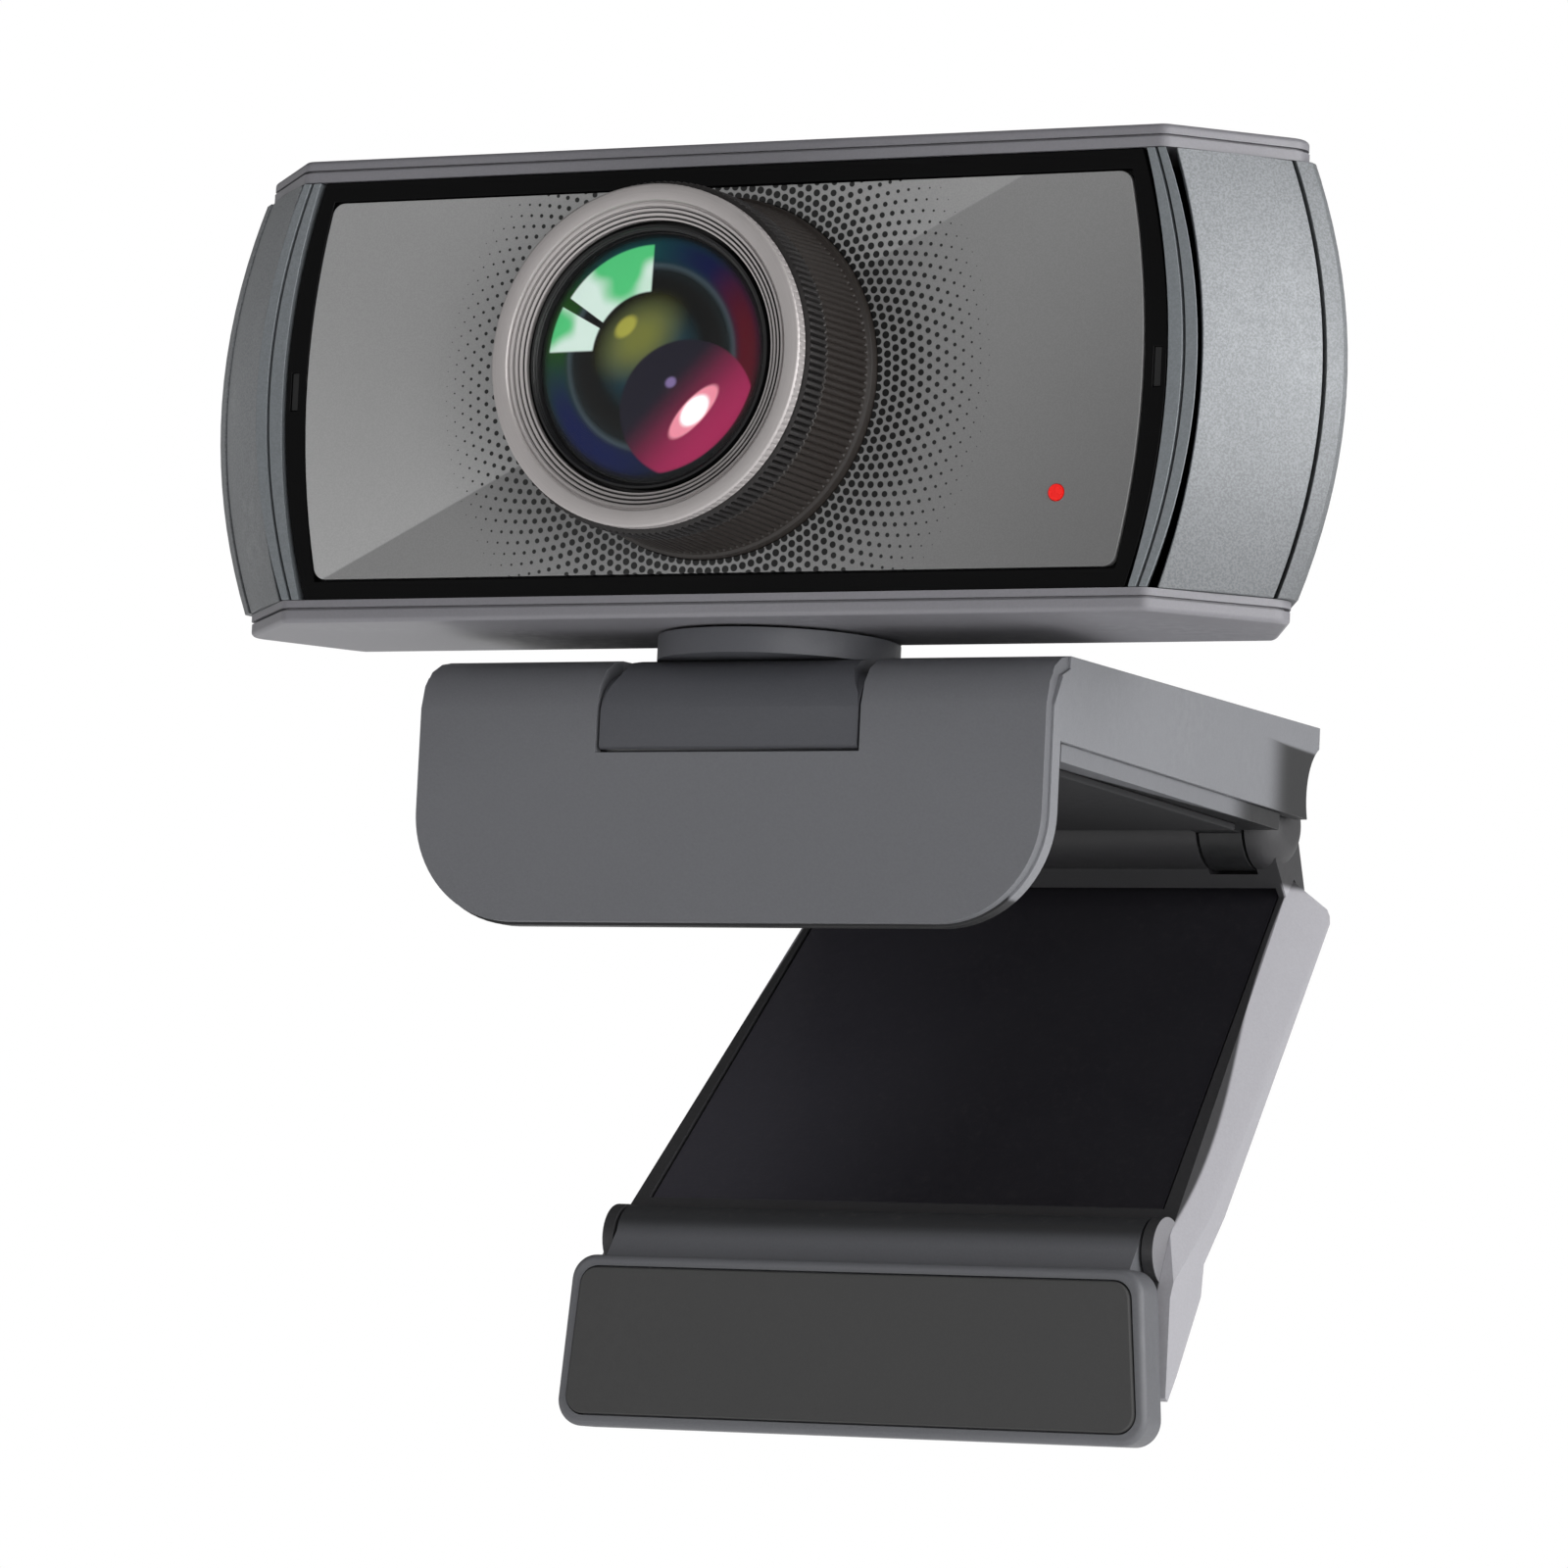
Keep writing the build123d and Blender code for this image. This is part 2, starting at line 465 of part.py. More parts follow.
# main housing: the inner frame that carries the bezel, the barrel and the board
housing = box(-39.0, 39.0, -3.6, 11.8, LOW_LIP + 0.1, HIGH_LIP - 0.1)
housing -= box(-37.4, 37.4, -2.2, 12, LOW_LIP + 1.7, HIGH_LIP - 1.7)
housing -= rod_y(13.0, -10, 0, 0, LENS_Z)
housing += both_sides(box(38.8, 41.4, -3.6, -2.2, 9, 37.3))
housing -= rod_z(POST_R + 0.3, 0, 9.4, 0, PAN_Y)
board_spots = [(x, z) for x in (-34.0, 34.0) for z in (9.0, 37.3)]
for x, z in board_spots:
    housing += rod_y(2.4, -2.4, 2.0, x, z)
for x, z in rear_screw_spots:
    housing += rod_y(2.4, 6.0, 11.8, x, z)
    z_wall = (LOW_LIP + 0.9) if z < HEAD_MID else (HIGH_LIP - 0.9)
    housing += box(x - 1.0, x + 1.0, 6.0, 11.8, min(z, z_wall), max(z, z_wall))
    housing -= rod_y(1.0, 5.0, 12, x, z)
for x, z in board_spots:
    housing -= rod_y(0.95, -1.2, 3, x, z)


def bulged_front(half_end, half_mid, z0, z1):
    """Front view plate whose left and right edges bow outwards."""
    mid = (z0 + z1) / 2
    edges = Line((-half_end, z0), (half_end, z0)) + ThreePointArc((half_end, z0), (half_mid, mid), (half_end, z1))
    edges += Line((half_end, z1), (-half_end, z1))
    edges += ThreePointArc((-half_end, z1), (-half_mid, mid), (-half_end, z0))
    return make_face(edges)


MIC_X = 42.0
LED_X = 33.2
LED_Z = 12.6
bezel = front_view(bulged_front(39.85, 42.85, LOW_LIP + 0.05, HIGH_LIP - 0.05), -5.56, -3.7)
panel_sketch = bulged_front(38.9, 40.85, 6.1, 40.1)
bezel -= front_view(panel_sketch, -6, -4.86)
bezel -= rod_y(13.0, -10, 0, 0, LENS_Z)
mic_slots = both_sides(box(MIC_X - 0.35, MIC_X + 0.35, -6, -2, HEAD_MID - 1.7, HEAD_MID + 1.7))
bezel -= mic_slots
bezel -= rod_y(1.1, -10, 0, LED_X, LED_Z)
save("front_bezel", bezel)
housing -= rod_y(1.6, -10, -2, LED_X, LED_Z)
housing -= both_sides(rod_y(0.9, -10, -1, 40.1, HEAD_MID))
save("main_housing", housing)

plate = front_view(fillet(bulged_front(38.75, 40.7, 6.25, 39.95).vertices(), 1.2), -5.68, -4.88)
plate -= rod_y(BARREL_R + 0.45, -10, 0, 0, LENS_Z)
plate -= rod_y(0.75, -10, 0, LED_X, LED_Z)
save("face_panel", plate)
window = rod_y(0.7, -5.75, -4.86, LED_X, LED_Z) + rod_y(1.05, -4.86, -1.6, LED_X, LED_Z)
save("status_window", window)
mic = box(MIC_X - 0.3, MIC_X + 0.3, -5.4, -4.2, HEAD_MID - 1.65, HEAD_MID + 1.65)
save("mic_window_right", mic)
save("mic_window_left", mirror(mic, about=Plane.YZ))

# ---------------------------------------------------------------- lens
barrel = turned([
    (11.0, -13.8), (15.1, -13.8), (15.45, -6.9), (15.8, -6.6), (15.8, -4.86), (12.9, -4.86), (12.9, -2.6), (11.0, -2.6),
])
save("lens_barrel", barrel)
ring = turned([
    (11.75, -17.8), (12.6, -18.15), (13.6, -18.55), (14.3, -18.55), (RING_R, -18.1), (RING_R, -17.3),
    (15.25, -17.1), (15.3, -14.1), (11.3, -14.1), (11.3, -16.3), (11.75, -16.3),
])
save("focus_ring", ring)
cell = turned([(9.9, -17.0), (10.95, -17.0), (10.95, -4.2), (8.2, -4.2), (8.2, -5.4), (9.9, -5.4)])
save("lens_cell", cell)
hood = turned([(9.6, -17.01), (11.35, -17.01), (11.35, -17.75), (10.9, -17.75)])
save("lens_hood_ring", hood)


def lens(r, y_front, dome, thick, y_flip=1):
    """A glass element: a spherical cap in front of a flat disc."""
    ball_r = (r * r + dome * dome) / (2 * dome)
    ball = Pos(0, y_front + y_flip * ball_r, LENS_Z) * Sphere(ball_r)
    reach = sorted((y_front, y_front + y_flip * (dome + thick)))
    return ball & rod_y(r, reach[0], reach[1], 0, LENS_Z)


save("front_glass", lens(9.55, -17.75, 1.35, 0.9))
save("middle_lens", lens(8.6, -12.0, 1.6, 0.9))
iris = rod_y(9.8, -9.2, -8.6, 0, LENS_Z) - rod_y(4.2, -10, -8, 0, LENS_Z)
save("aperture_ring", iris)
save("rear_lens", lens(8.1, -5.0, 1.4, 1.2, -1))
save("lens_mount", turned([(5.2, -2.0), (7.4, -2.0), (7.4, 2.0), (6.3, 2.0), (6.3, -0.8), (5.2, -0.8)]))
save("infrared_filter", box(-4.2, 4.2, -0.75, -0.35, LENS_Z - 4.2, LENS_Z + 4.2))

# ---------------------------------------------------------------- electronics
board = box(-36.6, 36.6, 2.05, 3.25, 6.6, 39.7)
board -= box(-11.6, 11.6, 0, 5, 0, 9.9)
for x, z in board_spots:
    board -= rod_y(1.1, 0, 5, x, z)
save("main_board", board)
save("image_sensor", box(-4.6, 4.6, 1.2, 2.0, LENS_Z - 3.6, LENS_Z + 3.6))
save("main_chip", box(-19.0, -10.0, 3.3, 4.4, 19.0, 28.0))
can = box(6.0, 22.0, 3.3, 6.0, 17.0, 31.0) - box(6.3, 21.7, 3.0, 5.7, 17.3, 30.7)
save("shield_can", can)
header = box(-5.0, 5.0, 3.3, 8.2, 11.4, 15.4) - box(-4.2, 4.2, 4.4, 9, 12.1, 14.7)
save("cable_header", header)
save("status_led", box(LED_X - 0.8, LED_X + 0.8, 1.1, 2.0, LED_Z - 0.5, LED_Z + 0.5))
capsule = rod_y(2.0, 0.4, 2.0, 35.0, HEAD_MID)
save("mic_capsules", both_sides(capsule))


def screws_y(spots, y_head, head_r, shank_r, long):
    """Pan-head screws along Y, heads at the back, with a cross recess."""
    out = []
    for x, z in spots:
        body = rod_y(head_r, y_head - 0.9, y_head, x, z) + rod_y(shank_r, y_head - long, y_head, x, z)
        cross = Pos(x, y_head, z) * (Box(1.3 * head_r, 0.8, 0.4) + Box(0.4, 0.8, 1.3 * head_r))
        out.append((body - cross).solids()[0])
    return Compound(children=out)


save("board_screws", screws_y(board_spots, 4.2, 1.8, 0.93, 4.6))
save("rear_screws", screws_y(rear_screw_spots, 21.15, 2.1, 0.98, 14.0))

gland = rod_y(4.2, 23.1, 25.6, 0, GLAND_Z) + rod_y(2.95, 19.6, 23.2, 0, GLAND_Z)
gland = gland + rod_y(4.2, 19.4, 20.6, 0, GLAND_Z)
gland -= rod_y(1.9, 15, 30, 0, GLAND_Z)
save("cable_gland", gland)
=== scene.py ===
# %% [markdown]
# # A wide webcam on a folding monitor clip
# This lesson dresses a finished CAD model. The CAD says where every part is, and Blender adds what
# CAD leaves out: soft edges, fine ribs, printed dots, coated glass and finishes with grain in them.
# Everything is in metres. X runs across, Y runs back through the screen and Z is up, so the camera's
# lens looks along -Y.

# %% Load the frame
import json
import math
import bmesh
import bpy
import numpy as np
from mathutils import Matrix, Vector


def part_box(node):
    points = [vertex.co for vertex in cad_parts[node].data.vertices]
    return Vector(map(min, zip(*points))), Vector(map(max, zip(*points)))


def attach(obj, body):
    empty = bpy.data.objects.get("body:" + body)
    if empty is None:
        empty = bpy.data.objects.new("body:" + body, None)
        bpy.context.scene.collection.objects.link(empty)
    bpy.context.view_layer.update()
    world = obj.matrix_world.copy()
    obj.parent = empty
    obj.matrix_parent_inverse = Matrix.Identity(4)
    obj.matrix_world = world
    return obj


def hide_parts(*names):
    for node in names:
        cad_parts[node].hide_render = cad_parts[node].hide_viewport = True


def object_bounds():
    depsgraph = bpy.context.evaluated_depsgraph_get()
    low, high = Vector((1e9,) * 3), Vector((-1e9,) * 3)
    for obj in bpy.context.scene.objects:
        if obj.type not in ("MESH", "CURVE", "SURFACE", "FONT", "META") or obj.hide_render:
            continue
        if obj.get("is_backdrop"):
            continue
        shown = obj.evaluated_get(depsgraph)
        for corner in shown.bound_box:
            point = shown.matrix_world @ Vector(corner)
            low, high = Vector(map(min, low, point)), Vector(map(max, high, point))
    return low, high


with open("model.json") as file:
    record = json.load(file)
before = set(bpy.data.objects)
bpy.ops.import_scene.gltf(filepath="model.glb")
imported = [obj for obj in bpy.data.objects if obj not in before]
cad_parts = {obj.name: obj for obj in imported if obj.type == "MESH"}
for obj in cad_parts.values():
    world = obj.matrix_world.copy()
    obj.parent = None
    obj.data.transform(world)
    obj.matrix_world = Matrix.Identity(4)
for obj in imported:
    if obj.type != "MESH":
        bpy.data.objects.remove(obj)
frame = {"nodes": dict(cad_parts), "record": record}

NODES = frame["nodes"]
MM = 0.001
cad_box = [list(corner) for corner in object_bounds()]
print("CAD box in mm:", [[round(1000 * v, 1) for v in corner] for corner in cad_box])

# %% [markdown]
# ## The eye
# The webcam is seen from its right, a little below, through a long lens, which keeps the lines of
# the housing nearly parallel. A camera's axes are three vectors: right, up, and the one that points
# back at us. Put side by side, they are its rotation. The view transform is Standard, so that a
# finish shows the colour it was given.

# %% Camera
camera = bpy.data.objects.new("camera", bpy.data.cameras.new("camera"))
bpy.context.scene.collection.objects.link(camera)
ahead = Vector((-0.453914, 0.885356, 0.100536)).normalized()
above = Vector((0.003032, -0.111293, 0.993783))
across = ahead.cross(above).normalized()
turn = Matrix((across, across.cross(ahead), -ahead)).transposed().to_4x4()
camera.matrix_world = Matrix.Translation((0.312478, -0.629050, -0.069560)) @ turn
camera.data.sensor_width = 36.0
camera.data.lens = 179.7
camera.data.clip_start = 0.02
camera.data.clip_end = 50.0
bpy.context.scene.camera = camera
bpy.context.scene.view_settings.view_transform = "Standard"
print("camera looks along", [round(v, 3) for v in ahead])

# %% [markdown]
# ## Measures from the model
# The lens parts share one axis. Its middle comes from the focus ring's box, so it is never typed
# twice.

# %% Lens axis
ring_low, ring_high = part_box("focus_ring")
AXIS_X = (ring_low.x + ring_high.x) / 2
AXIS_Z = (ring_low.z + ring_high.z) / 2
RING_FRONT = ring_low.y
print("lens axis at x, z in mm:", round(1000 * AXIS_X, 2), round(1000 * AXIS_Z, 2))

# %% [markdown]
# ## Small helpers for shader nodes
# A material is a graph. Writing each node out by hand takes many lines, so a sheet object makes
# nodes, sets their sockets and joins them. A value that is a socket is linked; any other is set.


# %% Node sheet
class Sheet:
    """A node tree with short calls: each call adds a node and gives back its first output."""

    def __init__(self, tree):
        self.tree = tree

    def put(self, socket, value):
        if value is None:
            return
        if isinstance(value, bpy.types.NodeSocket):
            self.tree.links.new(value, socket)
        else:
            socket.default_value = value

    def node(self, kind, out=0, settings=None, **sockets):
        made = self.tree.nodes.new(kind)
        for key, value in (settings or {}).items():
            setattr(made, key, value)
        for key, value in sockets.items():
            name = key.replace("_", " ")
            self.put(made.inputs[int(key[1:]) if key[0] == "i" and key[1:].isdigit() else name], value)
        return made.outputs[out]

    def math(self, how, a, b=None, c=None, clamp=False):
        return self.node("ShaderNodeMath", settings={"operation": how, "use_clamp": clamp}, i0=a, i1=b, i2=c)

    def mix(self, factor, a, b, how="MIX"):
        made = self.tree.nodes.new("ShaderNodeMix")
        made.data_type = "RGBA"
        made.blend_type = how
        for index, value in ((0, factor), (6, a), (7, b)):
            self.put(made.inputs[index], value)
        return made.outputs[2]

    def step(self, value, start, end, low=0.0, high=1.0):
        """A smooth step: low before start, high after end."""
        return self.node("ShaderNodeMapRange", settings={"interpolation_type": "SMOOTHSTEP"},
                         Value=value, From_Min=start, From_Max=end, To_Min=low, To_Max=high)

    def noise(self, place, scale, detail=2.0, rough=0.5):
        return self.node("ShaderNodeTexNoise", Vector=place, Scale=scale, Detail=detail, Roughness=rough)

    def object_place(self):
        return self.node("ShaderNodeTexCoord", out=3)


def colour(code):
    """A colour from the six-digit code that painters use, as linear light."""
    parts = np.array([int(code[i:i + 2], 16) for i in (0, 2, 4)]) / 255
    linear = np.where(parts < 0.04045, parts / 12.92, ((parts + 0.055) / 1.055) ** 2.4)
    return (*[float(v) for v in linear], 1.0)


print("mid grey as light:", [round(v, 3) for v in colour("808080")[:3]])

# %% [markdown]
# ## Effects that several finishes share
# Grain, speckle, rubbing and dust are each one node group. A group has named inputs, so every
# material sets its own values. Only masks, tones and heights come out; the shader itself stays in the
# material.


# %% Group maker
def group(name, inputs, outputs):
    """An empty node group with float inputs (name, default) and float outputs, and its two ends."""
    tree = bpy.data.node_groups.new(name, "ShaderNodeTree")
    for label, default in inputs:
        entry = tree.interface.new_socket(name=label, in_out="INPUT", socket_type="NodeSocketFloat")
        entry.default_value = default
    for label in outputs:
        tree.interface.new_socket(name=label, in_out="OUTPUT", socket_type="NodeSocketFloat")
    return tree, Sheet(tree), tree.nodes.new("NodeGroupInput"), tree.nodes.new("NodeGroupOutput")


def use(sheet, tree, **values):
    """Places a group in a material and gives back its outputs by name."""
    made = sheet.tree.nodes.new("ShaderNodeGroup")
    made.node_tree = tree
    for key, value in values.items():
        sheet.put(made.inputs[key.replace("_", " ")], value)
    return made.outputs


# %% [markdown]
# Moulded plastic carries the fine texture of its steel mould. Two noises make it: small pits for the
# bump, and slow clouds that shift the tone by a few hundredths, as real mouldings do.

# %% Moulded grain
GRAIN, s, gi, go = group("moulded grain", [("Grain Size", 4000.0), ("Cloud Size", 45.0), ("Cloud Depth", 0.06)],
                         ["Height", "Tone"])
place = s.object_place()
pits = s.noise(place, gi.outputs["Grain Size"], 3.0, 0.6)
clouds = s.noise(place, gi.outputs["Cloud Size"], 2.0)
swing = s.math("MULTIPLY", s.math("SUBTRACT", clouds, 0.5), gi.outputs["Cloud Depth"])
fleck = s.math("MULTIPLY", s.math("SUBTRACT", pits, 0.5), 0.22)
s.put(go.inputs["Height"], pits)
s.put(go.inputs["Tone"], s.math("ADD", s.math("ADD", swing, fleck), 1.0))
print("group:", GRAIN.name)

# %% [markdown]
# Metallic paint holds tiny flakes. A fine noise, pushed towards black and white, stands for flakes
# that face us and flakes that don't.

# %% Flake speckle
FLAKE, s, gi, go = group("flake speckle", [("Flake Size", 2600.0), ("Contrast", 0.3)],
                         ["Tone", "Shine", "Height"])
place = s.object_place()
fine = s.noise(place, gi.outputs["Flake Size"], 2.0, 0.7)
sharp = s.step(fine, 0.36, 0.64)
slow = s.noise(place, 60.0, 3.0)
spread = s.math("MULTIPLY", s.math("SUBTRACT", sharp, 0.5), gi.outputs["Contrast"])
drift = s.math("MULTIPLY", s.math("SUBTRACT", slow, 0.5), 0.08)
s.put(go.inputs["Tone"], s.math("ADD", s.math("ADD", spread, drift), 1.0))
s.put(go.inputs["Shine"], sharp)
s.put(go.inputs["Height"], fine)
print("group:", FLAKE.name)

# %% [markdown]
# Hands polish a matt surface in patches, and dust settles on what faces up. The rub mask is a
# slow noise broken by a finer one. The dust mask reads the surface normal's upward part.

# %% Handling and dust
RUB, s, gi, go = group("handling", [("Patch Size", 70.0), ("Strength", 0.5)], ["Rub"])
place = s.object_place()
patch = s.step(s.noise(place, gi.outputs["Patch Size"], 3.0), 0.42, 0.68)
broken = s.step(s.noise(place, 900.0, 2.0), 0.3, 0.7)
s.put(go.inputs["Rub"], s.math("MULTIPLY", s.math("MULTIPLY", patch, broken), gi.outputs["Strength"]))
DUST, s, gi, go = group("settled dust", [("Amount", 0.1)], ["Dust"])
place = s.object_place()
normal = s.node("ShaderNodeNewGeometry", out=1)
facing_up = s.step(s.node("ShaderNodeSeparateXYZ", out=2, Vector=normal), 0.55, 0.98)
motes = s.step(s.noise(place, 1500.0, 4.0, 0.7), 0.5, 0.72)
drift = s.noise(place, 120.0, 2.0)
s.put(go.inputs["Dust"], s.math("MULTIPLY", s.math("MULTIPLY", facing_up, s.math("MULTIPLY", motes, drift)),
                                gi.outputs["Amount"]))
print("groups:", RUB.name, "and", DUST.name)

# %% [markdown]
# Turned metal has rings from the lathe tool. Distance from the lens axis goes into a one-way noise,
# so every point on a circle has the same height.

# %% Lathe lines
TURNED, s, gi, go = group("lathe lines", [("Lines Per Metre", 9000.0)], ["Height", "Tone"])
place = s.object_place()
split = s.tree.nodes.new("ShaderNodeSeparateXYZ")
s.put(split.inputs[0], place)
dx = s.math("SUBTRACT", split.outputs[0], AXIS_X)
dz = s.math("SUBTRACT", split.outputs[2], AXIS_Z)
reach = s.math("SQRT", s.math("ADD", s.math("MULTIPLY", dx, dx), s.math("MULTIPLY", dz, dz)))
along = s.math("ADD", reach, s.math("MULTIPLY", split.outputs[1], 0.7))
lines = s.node("ShaderNodeTexNoise", settings={"noise_dimensions": "1D"}, W=along,
               Scale=gi.outputs["Lines Per Metre"], Detail=2.0)
s.put(go.inputs["Height"], lines)
s.put(go.inputs["Tone"], s.math("ADD", s.math("MULTIPLY", s.math("SUBTRACT", lines, 0.5), 0.16), 1.0))
print("group:", TURNED.name)


# %% [markdown]
# ## One maker for plain finishes
# Most parts need the same recipe: a base colour times a tone, a roughness that handling lowers,
# dust that lightens what faces up, and a little bump. Constants such as the coat or the metalness go
# straight on the shader.


# %% Finish maker
def finish(name, code, rough, grain=4000.0, bump=0.15, metal=0.0, flake=None, dust=0.12, rub=0.12,
           turned=None, tones=None, **sockets):
    """A material of one colour with grain, handling and dust worked into it."""
    material = bpy.data.materials.new(name)
    material.use_nodes = True
    sheet = Sheet(material.node_tree)
    shader = material.node_tree.nodes["Principled BSDF"]
    if turned:
        surface = use(sheet, TURNED, Lines_Per_Metre=turned)
    elif flake:
        surface = use(sheet, FLAKE, Flake_Size=grain, Contrast=flake)
    else:
        surface = use(sheet, GRAIN, Grain_Size=grain)
    # tones, where given, multiplies painted light and shade into the grain's tone
    tone = surface["Tone"] if tones is None else sheet.math("MULTIPLY", surface["Tone"], tones(sheet))
    grey = sheet.node("ShaderNodeCombineColor", Red=tone, Green=tone, Blue=tone)
    painted = sheet.mix(1.0, colour(code), grey, "MULTIPLY")
    settled = use(sheet, DUST, Amount=dust)["Dust"]
    sheet.put(shader.inputs["Base Color"], sheet.mix(settled, painted, colour("b9b4ab")))
    rubbed = use(sheet, RUB, Strength=rub)["Rub"]
    duller = sheet.math("MULTIPLY", settled, 0.5)
    sheet.put(shader.inputs["Roughness"],
              sheet.math("ADD", sheet.math("SUBTRACT", rough, rubbed), duller, clamp=True))
    shader.inputs["Metallic"].default_value = metal
    relief = sheet.node("ShaderNodeBump", Strength=bump, Distance=0.00005, Height=surface["Height"])
    sheet.put(shader.inputs["Normal"], relief)
    for key, value in sockets.items():
        shader.inputs[key.replace("_", " ")].default_value = value
    return material


# %% [markdown]
# ## The finishes
# Each one is named for what it covers. The sides of the head are a flake paint, the clip is a
# fine-grained plastic, the foot's pad is a rubber with hardly any shine, and the hidden metal and
# electronics get the finish that such parts have.

# %% Finishes with painted light and shade in their tones
def place(sheet, axis):
    """One coordinate of the point: 0 for x, 1 for y, 2 for z."""
    return sheet.node("ShaderNodeSeparateXYZ", out=axis, Vector=sheet.object_place())


GROOVES_FROM, GROOVES_TO, GROOVE_PITCH = 11.7 * MM, 12.8 * MM, 0.38 * MM


def ring_tone_and_groove_shade(sheet):
    """1 on the ring's bright front, near 0 in its three grooves, where shade is painted, and 0.07 on the brown
    band behind it.
    """
    out = sheet.math("SUBTRACT", place(sheet, 0), AXIS_X)
    up = sheet.math("SUBTRACT", place(sheet, 2), AXIS_Z)
    squares = sheet.math("ADD", sheet.math("MULTIPLY", out, out), sheet.math("MULTIPLY", up, up))
    reach = sheet.math("SQRT", squares)
    turns = sheet.math("FRACT", sheet.math("DIVIDE", sheet.math("SUBTRACT", reach, GROOVES_FROM), GROOVE_PITCH))
    inner = sheet.step(reach, GROOVES_TO, GROOVES_TO + 0.04 * MM, 1.0, 0.0)
    # painted shade in the fine grooves of the ring's inner bevel
    groove_shade_mask = sheet.math("MULTIPLY", sheet.step(turns, 0.52, 0.66), inner)
    front = sheet.step(place(sheet, 1), RING_FRONT + 1.24 * MM, RING_FRONT + 1.30 * MM, 1.0, 0.07)
    return sheet.math("MULTIPLY", front, sheet.math("SUBTRACT", 1.0, sheet.math("MULTIPLY", groove_shade_mask, 0.9)))


LEG_FOOT_Z, LEG_HEAD_Z = -35.7 * MM, -2.9 * MM
LEG_FOOT_HALF, LEG_HEAD_HALF = 27.55 * MM, 23.95 * MM


def side_light_and_front_shade(sheet):
    """Painted light and shade: 1 on the leg's slanted sides, which are lit, and 0.09 on its front, which is
    shaded; the sides start further out low down.
    """
    edge = sheet.step(place(sheet, 2), LEG_FOOT_Z, LEG_HEAD_Z, LEG_FOOT_HALF, LEG_HEAD_HALF)
    out = sheet.math("SUBTRACT", sheet.math("ABSOLUTE", place(sheet, 0)), edge)
    # the slanted sides take painted light, the front painted shade
    lit_side_mask = sheet.step(out, -0.05 * MM, 0.15 * MM)
    below_hinge = sheet.step(place(sheet, 2), -4.2 * MM, -3.4 * MM, 1.0, 0.0)
    return sheet.math("ADD", 0.09, sheet.math("MULTIPLY", 0.91, sheet.math("MULTIPLY", lit_side_mask, below_hinge)))


def barrel_shade(sheet):
    """Painted shade: the foot is dark along the top of its barrel and full tone from its middle down."""
    return sheet.step(place(sheet, 2), -39.6 * MM, -37.6 * MM, 1.0, 0.25)


def arm_shade(sheet):
    """Painted shade: the arm's skin is full tone; its inside and its underside, deeper than the skin, are near
    black.
    """
    side = sheet.step(sheet.math("ABSOLUTE", place(sheet, 0)), 27.0 * MM, 27.6 * MM)
    top = sheet.step(place(sheet, 2), 8.3 * MM, 8.8 * MM)
    return sheet.step(sheet.math("MAXIMUM", side, top), 0.0, 1.0, 0.08, 1.0)


def painted_sheen(sheet):
    """A painted sheen: the leg's panel is lighter towards its left."""
    return sheet.step(place(sheet, 0), -28.0 * MM, 6.0 * MM, 2.6, 1.0)


def wall_shade(sheet):
    """Painted shade: the side walls deepen towards the bottom and towards the back."""
    low = sheet.step(place(sheet, 2), 12.0 * MM, 36.0 * MM, 0.62, 1.0)
    return sheet.math("MULTIPLY", low, sheet.step(place(sheet, 1), -31.0 * MM, -22.0 * MM, 1.0, 0.72))


# %% [markdown]
# A key is a slot of the record, or a node's own name where that one piece differs from its slot.

